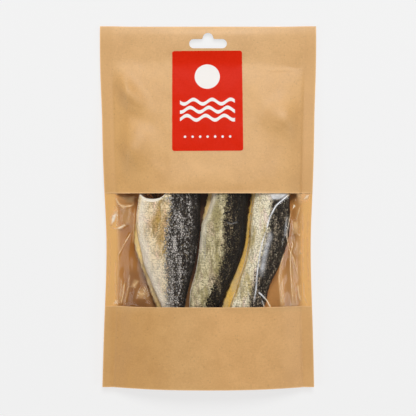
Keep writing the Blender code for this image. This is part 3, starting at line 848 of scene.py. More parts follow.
def paint(name, x, y, part):
    fish = FISH[name]
    line = places_of(fish["border"], FISH_AT)
    dark = ease((x - np.interp(y, line[::-1, 1], line[::-1, 0])) / 0.0085 + 0.5)
    belly, back, *_, inset, _ = sizes_at(fish, y)
    share = (x - belly) / np.maximum(back - belly, 1e-4)
    rim = x - belly - inset
    gold, pale = np.where(part >= ROOF, 1.0, 0.0), np.where(part == LIP, 1.0, 0.0)
    # painted shade near the edge beside the next fish, where light hardly reaches the gap
    deep = ease((share - fish["shade"]) / 0.14)
    if name == "fish_left":
        low_half = below(232, y, 0.006)
        # painted light: the belly side is painted paler near its lip, where it turns away from the light
        pale = np.maximum(pale, 0.75 * bell(rim - 0.0030, 0.0050) * ease((y + 0.100) / 0.02) * (part == SKIN))
        gold = np.maximum(gold, ease((share - 0.975) / 0.015) * low_half)
        pale = np.maximum(pale, bell(rim - 0.0010, 0.0014) * low_half)
        warm_rim = bell(rim - 0.0006, 0.0016) * (1 - low_half) * (part == SKIN)
        gold, pale = np.maximum(gold, 0.70 * warm_rim), pale * (1 - 0.75 * warm_rim)
        deep *= 1 - low_half * ease((share - 0.970) / 0.015)
    if name == "fish_middle":
        high = 1 - below(214, y, 0.010)
        # partly pale skin, partly painted light: the upper left edge is painted paler where it lies low in
        # shade
        pale = np.maximum(pale, 0.6 * bell(rim - 0.0015, 0.0020) * ease((y + 0.042) / 0.010))
        gold = np.maximum(gold, 0.8 * bell(rim, 0.0016) * high)
        gold = np.where(part >= FLAP, np.maximum(high, 0.35), gold)
    if name == "fish_right":
        gold = np.maximum(gold, bell(rim, 0.0012))
    pale = np.maximum(pale, spots(fish["pale"], x, y))
    dark = np.where(part > SKIN, 0.0, np.maximum(dark, spots(fish["dusk"], x, y)))
    from_row, to_row, all_over, at_rim = fish["stain"]
    stained = below(from_row, y, 0.008) * (1 - below(to_row, y, 0.008)) * all_over
    stained = stained + at_rim * bell(x - belly - 0.0002, 0.0016)
    mossy = np.maximum(fish["olive"], spots(fish["moss"], x, y))
    mossy = np.where(part >= ROOF, stained, mossy)
    # where painted glints gather on the back, partly the skin's own silver
    silver = np.zeros(x.shape)
    for middle_share, spread in fish["silver"]:
        silver = np.maximum(silver, bell(share - middle_share, spread))
    silver *= 0.35 + 0.65 * below(215, y, 0.012)
    silver = np.maximum(silver, spots(fish["shine"], x, y))
    tint = np.stack([dark, np.clip(gold, 0, 1), np.clip(pale, 0, 1)], -1)
    mood = np.stack([np.clip(mossy, 0, 1), silver, np.where(part == SKIN, deep, 0.0)], -1)
    return tint, mood


# %% [markdown]
# Beyond the cut the mesh turns over a pale rim and goes back into the body as a dark hollow, all as one
# closed skin. The outermost and the innermost ring each end in a fan of triangles.

# %% Loft the skins
HOLLOW_RINGS = (
    # out over the cut, sunk, shrunk, how deep in metres, how dark
    (0.35, 0.10, 1.0, 0, 0.0),
    (0.75, 0.45, 0.995, 0, 0.0),
    (1.0, 0.75, 0.985, 0, 0.0),
    (1.05, 1.3, 0.96, 0, 0.35),
    (0.9, 2.4, 0.90, 0.001, 0.8),
    (0.5, 3.2, 0.82, 0.004, 1),
    (0, 3.6, 0.70, 0.009, 1),
    (0, 4.0, 0.35, 0.012, 1),
)


def hollow_rings(points, fish):
    last = points[-1]
    centre = last.mean(0)
    middle = last[:, 2].min() * 0.5 + last[:, 2].max() * 0.5
    from_neck = last[:, 0] - fish["neck"][0][0]
    slant = ease((last[:, 2] - middle) / 0.004) * (0.0008 + 0.0022 * bell(from_neck, 0.0095))
    rings = []
    for out, sink, shrink, deep, _ in HOLLOW_RINGS:
        ring = centre + (last - centre) * np.array([shrink, 1.0, shrink])
        ring[:, 1] += slant * out - deep
        ring[:, 2] = np.maximum(ring[:, 2] - slant * sink * 0.75, FISH_LOW)
        rings.append(ring)
    return np.array(rings)


def loft(name, seed):
    fish = FISH[name]
    y = rows_of(fish)
    x, z = ring_points(fish, y)
    part, ends = np.broadcast_to(PARTS, x.shape), sizes_at(fish, y)[-1]
    share = (x - x.min(1, keepdims=True)) / np.ptp(x, axis=1)[:, None]
    tear = np.select([part == UNDERSIDE, part == FLAP], [1 - share * 12, 1 - share * 8], 0.0)
    x = x + ragged(y) * np.clip(tear, 0, 1) * ends
    points = np.stack([x, y, z], -1)
    tangent = np.roll(points, -1, 1) - np.roll(points, 1, 1)
    outward = np.stack([tangent[..., 2], np.zeros_like(x), -tangent[..., 0]], -1)
    outward /= np.maximum(np.linalg.norm(outward, axis=-1, keepdims=True), 1e-9)
    calm = np.select([part == SKIN, part == UNDERSIDE], [1.0, 0.0], 0.4) * ends**2
    relief = (dried_relief(points, seed) + grooves(share, y) * (part == SKIN)) * calm
    tint, mood = paint(name, x, y, part)
    steps = np.hypot(np.diff(x, axis=1), np.diff(z, axis=1))
    round_body = np.concatenate([np.zeros((len(x), 1)), np.cumsum(steps, 1)], 1)
    points = points + outward * relief[..., None]
    rings = np.concatenate([points, hollow_rings(points, fish)])
    new = len(HOLLOW_RINGS) * len(PARTS)
    tint = np.concatenate([tint.reshape(-1, 3), np.tile([0.0, 0.0, 1.0], (new, 1))])
    dark = np.repeat([ring[-1] for ring in HOLLOW_RINGS], len(PARTS))
    inside = np.concatenate([np.zeros(x.size), dark, [0, 1]])
    index = np.arange(rings.shape[0] * rings.shape[1]).reshape(rings.shape[:2])
    after = np.roll(index, -1, 1)
    quads = np.stack([index[:-1], index[1:], after[1:], after[:-1]], -1).reshape(-1, 4)
    fans = [(index.size, int(a), int(b)) for a, b in zip(index[0], after[0])]
    fans += [(index.size + 1, int(b), int(a)) for a, b in zip(index[-1], after[-1])]
    every = np.concatenate([rings.reshape(-1, 3), [rings[0].mean(0), rings[-1].mean(0)]])
    made = mesh_object(name + "_skin", every.tolist(), quads.tolist() + fans)
    store(made, "tint", np.concatenate([tint, tint[:1], tint[-1:]]))
    store(made, "hollow", inside)
    store(made, "mood", np.concatenate([mood.reshape(-1, 3), np.zeros((new + 2, 3))]))
    unroll(made, y, round_body)
    made.data.shade_smooth()
    return made


UV_SCALE, UV_START, UV_OUTSIDE = 5, 0.02, (-1.0, -1.0)  # five UV units to the metre


def unroll(made, y, round_body):
    """A UV map of the upper skin, along the body and round it from the back. The rest lies outside it."""
    u, v = ((y - y.min()).ravel() * UV_SCALE + UV_START), (round_body.ravel() * UV_SCALE + UV_START)
    on_top = np.broadcast_to(PARTS == SKIN, y.shape).ravel()
    corners = np.empty(len(made.data.loops), np.int32)
    made.data.loops.foreach_get("vertex_index", corners)
    known = corners < u.size
    safe = np.where(known, corners, 0)
    uv = np.stack([u[safe], v[safe]], -1)
    uv[~known | ~on_top[safe]] = UV_OUTSIDE
    for polygon in made.data.polygons:
        span = slice(polygon.loop_start, polygon.loop_start + polygon.loop_total)
        if (uv[span] < 0).any():
            uv[span] = UV_OUTSIDE
    made.data.uv_layers.new(name="UVMap").data.foreach_set("uv", uv.astype(np.float32).ravel())


skins = {name: loft(name, seed) for seed, name in enumerate(FISH, start=2)}
for name, skin in skins.items():
    print(name, len(skin.data.polygons), "faces")

# %% [markdown]
# Fish oil soaks into paper, and the fish shade the paper beside them. One dark brown mark on the back sheet,
# between the fish and beside the left one's tail, is mostly painted shade and partly oil stain.

# %% Oil and painted shade on the back sheet
x, y, _ = points_of(back_paper)
first, last = sizes_at(FISH["fish_left"], y)[0], sizes_at(FISH["fish_right"], y)[1]
between_fish = ease((x - first - 0.008) / 0.008) * ease((last - 0.008 - x) / 0.008)
between_fish = between_fish * (1 - 0.45 * below(276, y, 0.010))
beside_tail = 0.5 * below(262, y, 0.012) * ease((x - seen(121, 0)[0]) / 0.008) * (x < 0)
# mostly painted shade between the fish and beside the left one's tail, partly oil stain
store(back_paper, "oil_and_shade", np.maximum(between_fish, beside_tail))

# %% [markdown]
# ## Recipes for colour
# These helpers keep each step of a finish to a line. Colours are given as the eye sees them on a screen,
# 0 to 255, and turned into the linear light that the renderer counts in.

# %% Colours and small node machines
def paint_colour(red, green, blue):
    """A screen colour as linear light."""
    parts = [v / 255 for v in (red, green, blue)]
    return (*[v / 12.92 if v <= 0.04045 else ((v + 0.055) / 1.055) ** 2.4 for v in parts], 1.0)


def blend(share, a, b, kind="MIX"):
    return put(share.tree, "ShaderNodeMix", {0: share, 6: a, 7: b}, 2, data_type="RGBA", blend_type=kind)


def between(value, low, high, to_low=0.0, to_high=1.0):
    """Stretches a value from one range to another, with soft ends."""
    sockets = {"Value": value, 1: low, 2: high, 3: to_low, 4: to_high}
    return put(value.tree, "ShaderNodeMapRange", sockets, interpolation_type="SMOOTHSTEP")


def cloud(where, size, detail=2.0, rough=0.5):
    """Noise whose lumps are about this many metres wide."""
    sockets = {"Vector": where, "Scale": 1.0 / size, "Detail": detail, "Roughness": rough}
    return put(where.tree, "ShaderNodeTexNoise", sockets)


def scaled(where, along_x, along_y, along_z):
    return put(where.tree, "ShaderNodeMapping", {"Vector": where, "Scale": (along_x, along_y, along_z)})


def split(vector):
    return put(vector.tree, "ShaderNodeSeparateXYZ", {0: vector})


def attribute(where, label, output="Fac"):
    return put(where.tree, "ShaderNodeAttribute", out=output, attribute_name=label)


def bumped(height, distance, strength):
    return put(height.tree, "ShaderNodeBump", {"Height": height, "Distance": distance, "Strength": strength})


def new_material(name):
    """A material, its shader, and the object's own coordinates."""
    made = bpy.data.materials.new(name)
    made.use_nodes = True
    where = put(made.node_tree, "ShaderNodeTexCoord", out="Object")
    return made, made.node_tree.nodes["Principled BSDF"], where


def coat_with(material, *pieces):
    for piece in pieces:
        piece.data.materials.clear()
        piece.data.materials.append(material)


# %% [markdown]
# ## Groups shared by several materials
# Paper fibres show on the kraft and under the sticker's gloss. Fine specks show on the kraft and on all
# three fish. Each is a node group with named inputs, built once. A fibre lies along the sheet or across it.

# %% Fibres and specks
def node_group(name, sizes, outputs):
    """A shader node group with a place, these sizes with their values, and these outputs."""
    tree = bpy.data.node_groups.new(name, "ShaderNodeTree")
    tree.interface.new_socket("Place", in_out="INPUT", socket_type="NodeSocketVector")
    for label, value in sizes.items():
        tree.interface.new_socket(label, in_out="INPUT", socket_type="NodeSocketFloat").default_value = value
    for label in outputs:
        tree.interface.new_socket(label, in_out="OUTPUT", socket_type="NodeSocketFloat")
    return Wire(tree.nodes.new("NodeGroupInput").outputs["Place"]), tree.nodes.new("NodeGroupOutput")


def use(group, place, **sizes):
    """Puts a group into a material. Spaces in the names of its inputs are written as underscores."""
    sockets = {key.replace("_", " "): value for key, value in sizes.items()}
    return put(place.tree, "ShaderNodeGroup", {"Place": place, **sockets}, node_tree=group)


place, result = node_group("paper_fibres", {"Fibre Size": 0.0008, "Mottle Size": 0.02}, ("Tone", "Height"))
lying = cloud(scaled(place, 0.35, 1, 1), place["Fibre Size"], 3.0)
standing = cloud(scaled(place, 1, 0.45, 1), place["Fibre Size"], 3.0)
grain = (lying + standing) * 0.5
fill(result, {"Tone": grain * 0.6 + cloud(place, place["Mottle Size"], 3.0) * 0.4, "Height": grain})
fibres = place.tree

place, result = node_group("fine_specks", {"Size": 0.0012, "Amount": 0.4}, ("Mask",))
sockets = {"Vector": place, "Scale": 1.0 / place["Size"], "Randomness": 1.0}
cells = put(place.tree, "ShaderNodeTexVoronoi", sockets)
chance = put(place.tree, "ShaderNodeSeparateColor", {0: cells["Color"]})
chosen = chance.math("LESS_THAN", place["Amount"])
inside = chance[1] * 0.35 + 0.12 - cells["Distance"]
fill(result, {"Mask": between(inside, -0.05, 0.12) * chosen})
specks = place.tree
print("groups:", [g.name for g in bpy.data.node_groups])

# %% [markdown]
# ## Kraft paper
# Unbleached kraft is a warm brown with darker and lighter fibres, mostly lying one way. It is matt, with a
# faint sheen from the laminate. Cut edges carry a painted highlight, and the welded strips are pressed a
# shade darker. Painted shade darkens it on the left below the closure and at the lower left, painted light
# lifts the right of the lower panel, and a painted sheen, paler and bluer, lies over the header and along the
# top edge, most in the middle. These tints multiply the paper's own shade, so that its fibres still show.

# %% The kraft finish
KRAFT = {
    # tint over the paper, by red, green and blue: painted shade, painted light and a painted sheen
    "tanned": (0.955, 0.92, 0.80, 1),
    "low left": (0.935, 0.885, 0.78, 1),
    "low right": (1.055, 1.03, 1.02, 1),
    "faded": (1.10, 1.18, 1.42, 1),
}


def kraft(name, colour, seal=None, darker_left=None):
    made, shader, where = new_material(name)
    base = paint_colour(*colour)

    def shade_of(red, green, blue):
        """The paper's colour made darker or lighter."""
        return tuple(min(1, v * k) for v, k in zip(base, (red, green, blue, 1)))

    paper = use(fibres, where, Fibre_Size=0.0009, Mottle_Size=0.018)
    marks, place = split(attribute(where, "marks", "Vector")), split(where)
    near_cut, near_seam, in_weld = marks, marks[1], marks[2]
    across, up = place, place[1]
    flecks = use(specks, where, Size=0.0016, Amount=0.16)
    shade = blend(between(paper, 0.36, 0.64), shade_of(0.93, 0.91, 0.88), shade_of(1.06, 1.08, 1.11))
    shade = blend(flecks * 0.30, shade, shade_of(0.62, 0.62, 0.62))
    low, inside_weld = between(up, -0.082, -0.090), between(across, -0.0835, -0.0790)
    # painted shade on the left, below the closure
    tanned = between(across, -0.015, -0.080) * between(up, 0.118, 0.072)
    shade = blend(tanned, shade, KRAFT["tanned"], "MULTIPLY")
    # painted shade at the lower left, and painted light on the right of the lower panel
    painted_shade_low_left = low * between(across, -0.012, -0.068) * inside_weld
    shade = blend(painted_shade_low_left, shade, KRAFT["low left"], "MULTIPLY")
    shade = blend(low * between(across, -0.020, 0.020), shade, KRAFT["low right"], "MULTIPLY")
    # the inside paper is darker and browner on its left, from the middle outwards
    if darker_left is not None:
        leftward = across + cloud(where, 0.02) * 0.05
        shade = blend(between(leftward, 0.0, -0.05), shade, paint_colour(*darker_left))
        # painted shade between the fish and beside the left one's tail, with some oil stain, in dark brown
        shade = blend(attribute(where, "oil_and_shade"), shade, paint_colour(112, 70, 40))
    # a painted sheen, paler and bluer, over the header above the closure and along the top edge, most in the
    # middle
    middle = between(across.math("ABSOLUTE"), 0.080, 0.015, 0.25, 1.0)
    sheen_place = up + paper * 0.004
    closure_sheen = between(sheen_place, CLOSURE_Y - 0.012, CLOSURE_Y + 0.022, 0.0, 0.70)
    edge = between(sheen_place, TOP_Y - 0.0075, TOP_Y + 0.0015, 0.0, 0.85)
    shade = blend(closure_sheen.math("MAXIMUM", edge) * middle, shade, KRAFT["faded"], "MULTIPLY")
    if seal is None:
        shade = blend(in_weld * 0.35, shade, shade_of(0.97, 0.95, 0.93))
    else:
        shade = blend(in_weld * 0.9, shade, paint_colour(*seal))
    shade = blend(near_seam * 0.12, shade, shade_of(0.80, 0.80, 0.80))
    # a painted highlight along the cut edges
    shade = blend(near_cut * 0.80, shade, shade_of(1.36, 1.50, 1.90))
    fill(shader, {
        "Base Color": shade,
        "Roughness": between(paper, 0.3, 0.7, 0.46, 0.58),
        "Specular IOR Level": 0.55,
        "Normal": bumped(paper["Height"] + near_seam * -0.8, 0.00012, 0.45),
    })
    return made


coat_with(kraft("kraft_outside", (216, 168, 108)), upper_front, lower_front)
kraft_inside = kraft("kraft_inside", (206, 148, 80), seal=(235, 184, 112), darker_left=(186, 122, 46))
coat_with(kraft_inside, back_paper, top_leaf, low_leaf)

# %% [markdown]
# ## The clear band
# The film is thinner than paper and pulled tight over the fish, so it creases in long thin lines. Each line
# is a narrow ridge in its height, and it is kept as a value too, for white painted along it: partly stretched
# plastic turning white, partly painted highlights. Small facets that would mirror a soft box are painted as
# pale patches, painted reflections.

# %% Creases in the film
FILM_LINES = (
    # ridge height in mm, ridge width in mm, whitening with painted highlight, columns and rows of its line
    # over the right fish: the long fold and the broad painted glossy band beside it
    (0.35, 1.0, 1.15, (290, 193, 281, 200, 275.6, 204.8, 272.6, 209.6, 269.6, 215.6, 267.2, 222,
     265.8, 229)),
    (0.35, 0.9, 1.0, (265.9, 228, 261.7, 241, 259.4, 251, 257.6, 262, 256.2, 275, 255.2, 289, 252.8, 304)),
    (0.25, 4.2, 0.38, (270, 228, 268.6, 238, 265.3, 248, 263, 258, 261.6, 267, 260.2, 278)),
    (0.25, 0.65, 0.8, (293.9, 205.5, 290.9, 209.6, 289.8, 215, 288.7, 221, 286.8, 230, 286.4, 236.5,
     288.3, 246, 290, 252, 293, 257, 296.5, 269, 299, 279)),
    (0.15, 1.6, 0.28, (287, 214, 285, 226, 284, 238)),
    (0.3, 0.9, 1.1, (257.5, 291, 262, 295, 266.5, 300, 270, 307)),
    (0.2, 0.8, 0.7, (261, 299, 264, 307)),
    # right of the fish
    (0.3, 1.4, 0.8, (310, 193.6, 307, 196.4, 303.5, 199)),
    (0.25, 0.8, 0.65, (300.6, 205, 297.2, 216.4, 296.5, 222)),
    (0.3, 0.9, 0.6, (291.3, 234, 292.6, 245, 290.2, 254, 290.0, 268, 291.0, 283, 293, 305)),
    (0.25, 0.8, 0.55, (283.6, 252, 281, 260, 278.8, 270)),
    (0.3, 1.0, 0.6, (279.0, 268, 278.2, 278, 279.2, 290, 281.0, 306)),
    (0.25, 1.1, 0.5, (282, 276, 282, 290, 283.4, 306)),
    (0.25, 1.3, 0.5, (298, 283, 299, 293.6, 301.5, 303)),
    (0.25, 1.0, 0.6, (304, 281, 304.5, 297, 308.5, 306)),
    (0.2, 1.4, 0.45, (303, 204, 303.4, 230, 303.2, 255, 304, 282)),
    (0.2, 1.0, 0.35, (294, 288, 295.6, 297, 296.5, 306)),
    (0.12, 1.8, 0.25, (308.5, 205, 308, 235, 308.6, 270, 310, 300)),
    # left of the fish
    (0.25, 0.6, 0.95, (131.5, 230, 125, 241, 120.5, 249, 116.5, 256)),
    (0.3, 1.3, 0.75, (117.3, 209.5, 113.5, 217, 109.2, 226)),
    (0.25, 0.7, 0.8, (117, 210.5, 115.8, 219, 114.9, 228)),
    (0.3, 1.0, 0.75, (108.5, 226.5, 114.5, 228.6, 120, 227, 124.5, 224.5)),
    (0.3, 1.3, 0.7, (113.5, 194, 115, 199, 118.5, 204, 124, 206.4, 130, 205.4, 134, 203)),
    (0.2, 0.9, 0.4, (112, 205, 115, 208, 118, 210)),
    (0.2, 1.2, 0.28, (134, 206, 133.6, 222, 132, 245)),
    (0.2, 1.2, 0.4, (114.4, 258, 114, 280, 114.6, 300)),
    (0.25, 1.0, 0.6, (123.8, 281, 122, 294, 119.4, 306)),
    (0.2, 0.9, 0.35, (121, 276, 119.8, 290, 118, 305)),
    (0.2, 1.0, 0.3, (129.5, 272, 127, 290, 123, 306)),
    (0.15, 2.0, 0.45, (132.5, 286, 135, 283.5, 137, 281)),
    (0.2, 3.4, 0.4, (137, 292, 141, 293.5, 146.5, 293)),
    (0.1, 1.6, 0.25, (109, 232, 108.4, 262, 107, 300)),
    # over the other two fish
    (0.08, 0.9, 0.1, (225, 221, 230, 223.5, 238, 221)),
    (0.1, 1.2, 0.15, (206, 222, 205, 240, 204, 262)),
)
FILM_PATCHES = (
    # painted highlight, soft edge in mm, columns and rows of the corners
    (0.5, 2.4, (112.5, 208, 118, 208.5, 116, 219, 109, 227.5, 107.5, 218)),
    (0.95, 1.4, (110.5, 215, 115.5, 211.5, 113.8, 221, 109.8, 224)),
    (0.75, 1.5, (115, 227.4, 124, 223, 125.4, 225.2, 118, 229.5)),
    (0.45, 1.6, (117, 203.4, 134, 204.2, 121, 209)),
    (0.18, 3.6, (133, 298.5, 137, 289, 145, 284.5, 149.5, 291, 148, 299)),
    (0.22, 3.0, (129, 287, 133, 278.5, 139.5, 280, 135, 288.5)),
    (0.38, 2.6, (292.5, 220.5, 298.5, 220.5, 299, 234, 291.8, 234)),
    (1.0, 0.5, (298.2, 234.3, 299.9, 233.2, 300.2, 235.8)),
    (0.9, 0.5, (300.4, 253, 302, 252.6, 301.6, 255)),
    (0.62, 1.8, (269, 193.6, 288, 193, 280, 198.8, 271.5, 199.2)),
    (0.36, 2.6, (296, 192, 311, 192, 309, 201, 299, 204)),
    (0.6, 1.4, (304.2, 199, 305.6, 194, 310, 193.4, 309, 198.6)),
    (1.0, 0.7, (291.8, 209.4, 293.6, 203.4, 295.6, 205.6)),
    (0.6, 0.9, (111.6, 304.6, 114.8, 298.2, 117.2, 304.8)),
    (0.1, 3.0, (293.5, 240, 303, 241, 301, 258, 295, 256)),
    (0.17, 3.4, (118, 206.5, 131.5, 206.5, 132, 226, 118.5, 222)),
    (0.13, 2.6, (111, 195.5, 134, 195.5, 134, 203.5, 117, 203.5)),
    (0.16, 2.0, (278.4, 266, 281.4, 266, 284.4, 306, 279.4, 306)),
    (0.16, 2.0, (289.4, 262, 293, 262, 295.6, 306, 290.4, 306)),
)


def polygon_mask(x, y, pixels, soft):
    """1 inside a convex outline of pixels, fading over a soft edge in mm."""
    corners = places_of(pixels, FISH_AT)
    sides = list(zip(corners, np.roll(corners, -1, 0)))
    turning = np.sign(sum((bx - ax) * (by + ay) for (ax, ay), (bx, by) in sides))
    inside = np.full(x.shape, 1e9)
    for (ax, ay), (bx, by) in sides:
        across = ((bx - ax) * (y - ay) - (by - ay) * (x - ax)) / math.hypot(bx - ax, by - ay)
        inside = np.minimum(inside, -turning * across * 1000)
    return ease(inside / soft + 0.25)


def film_creases(x, y):
    """Height of the creases in metres, and how much painted white each place gets, whitening and painted
    highlight. One side of a ridge is less steep.
    """
    height, white = np.zeros(x.shape), np.zeros(x.shape)
    for ridge, width, whitening, pixels in FILM_LINES:
        away, along = beside_line(x, y, pixels, FISH_AT)
        fade = tapered(along, 0.10 if whitening > 1 else 0.20)
        height += ridge / 1000 * np.where(away > 0, bell(away, width), bell(away, 2.4 * width)) * fade
        white = np.maximum(white, whitening * bell(away, 0.42 * width) * fade)
    for whitening, soft, pixels in FILM_PATCHES:
        white = np.maximum(white, whitening * polygon_mask(x, y, pixels, soft))
    return height, white


# %% [markdown]
# The film runs on under the paper above and below the window. Beside the fish it is slack and crumpled, in
# folds that meet in sharp ridges, and over them it is taut.

# %% Lay the film over the fish
FILM, FILM_UNDER, FILM_GAP = 0.00006, 0.007, 0.00004  # thickness, run under the paper, gap to it
CRUMPLES = (
    # size, stretch across and along, turn in degrees, height
    (0.0115, 1.0, 0.30, 5, 0.00050),
    (0.0070, 1.0, 0.40, -22, 0.00022),
)


def crumple(x, y):
    height = np.zeros(x.shape)
    for size, across, along, turn, tall in CRUMPLES:
        a = math.radians(turn)
        u, v = x * math.cos(a) + y * math.sin(a), -x * math.sin(a) + y * math.cos(a)
        places = np.stack([u * across, v * along, np.full_like(x, size)], -1)
        height += tall * (0.6 - 2.2 * np.abs(lumpy(places, size, 11 + turn)))
    return height


def lay_film():
    rows = np.arange(WINDOW_LOW - FILM_UNDER, WINDOW_HIGH + FILM_UNDER, 0.00066)
    x, y = stretched_grid(np.linspace(-1, 1, 277), rows, inset=0.0009)
    shown = ease((y - WINDOW_LOW) / 0.004) * ease((WINDOW_HIGH - y) / 0.004)
    height, white = film_creases(x, y)
    open_sides = ease((half_width(x, y) - np.abs(x) - 0.004) / 0.010)
    over_fish = np.zeros(x.shape)
    for fish in FISH.values():
        belly, back, *_ = sizes_at(fish, y)
        over_fish = np.maximum(over_fish, ease((x - belly) / 0.004) * ease((back - x) / 0.004))
    slack = crumple(x, y) * open_sides * (1 - 0.93 * over_fish)
    top = read(front_table, x, y) - PAPER - FILM_GAP + shown * (height * (0.35 + 0.65 * open_sides) + slack)
    made = sheet("clear_film", x, y, top, top - FILM)
    # painted whitening and highlights on the creases and patches; away from the fish they are painted
    # honey-coloured
    store(made, "white", np.tile(white.ravel(), 2))
    store(made, "warm", np.tile(1 - over_fish.ravel(), 2))
    return made


clear_film = lay_film()
print("film:", len(clear_film.data.polygons), "faces")

# %% [markdown]
# The film's material lets light straight through, apart from what its surface mirrors: more at a low angle,
# as any clear plastic does. Only faces that look at the viewer mirror, so the thin shell doesn't count twice.
# Along a crease and on the patches a matt white is painted in, partly whitening and mostly painted highlight,
# honey-coloured beside the fish as a painted reflection of the paper.

# %% The film finish
def clear_plastic():
    made, shader, where = new_material("clear_plastic")
    tree = where.tree
    tree.nodes.remove(shader)
    bump = bumped(cloud(where, 0.006, 3.0), 0.0005, 0.3)
    through = put(tree, "ShaderNodeBsdfTransparent", {"Color": (0.998, 0.995, 0.990, 1)})
    sockets = {"Color": (1, 0.96, 0.91, 1), "Roughness": 0.07, "Normal": bump}
    gloss = put(tree, "ShaderNodeBsdfGlossy", sockets)
    fresnel = put(tree, "ShaderNodeFresnel", {"IOR": 1.40, "Normal": bump})
    facing_away = put(tree, "ShaderNodeNewGeometry", out="Backfacing")
    clear = put(tree, "ShaderNodeMixShader", {0: fresnel * (facing_away * -1.0 + 1.0), 1: through, 2: gloss})
    white = attribute(where, "white")
    honey = blend(between(white, 0.40, 0.80), paint_colour(255, 222, 168), paint_colour(255, 244, 226))
    sheen = blend(attribute(where, "warm"), paint_colour(250, 250, 252), honey)
    painted_white = put(tree, "ShaderNodeBsdfDiffuse", {"Color": sheen, "Roughness": 0.5})
    uneven = between(cloud(where, 0.0060), 0.34, 0.58, 0.55, 1.0)
    # a matt white over the clear film: partly whitening, mostly painted highlights and reflections
    surface = put(tree, "ShaderNodeMixShader", {0: (white * uneven * 0.95).clamped(), 1: clear, 2: painted_white})
    fill(tree.nodes["Material Output"], {"Surface": surface})
    return made


coat_with(clear_plastic(), clear_film)

# %% [markdown]
# ## Scales
# Roach are covered in rows of small overlapping scales, each row set off by half a scale from the next. A
# Geometry Nodes tree does what a net-maker would: it lays out a flat staggered grid, carries every point to
# the skin by the UV map, and puts one thin lens there, turned to the skin and tilted up at the tail side.

# %% A tree that lays scales
SCALE_SIZES = {
    "Row Pitch": 0.0082,
    "Column Pitch": 0.0072,
    "Scale Length": 0.00125,
    "Scale Width": 0.00088,
    "Tilt": 0.14,
}
NET_ROUND = 0.42  # how far the net reaches round the body, in UV units


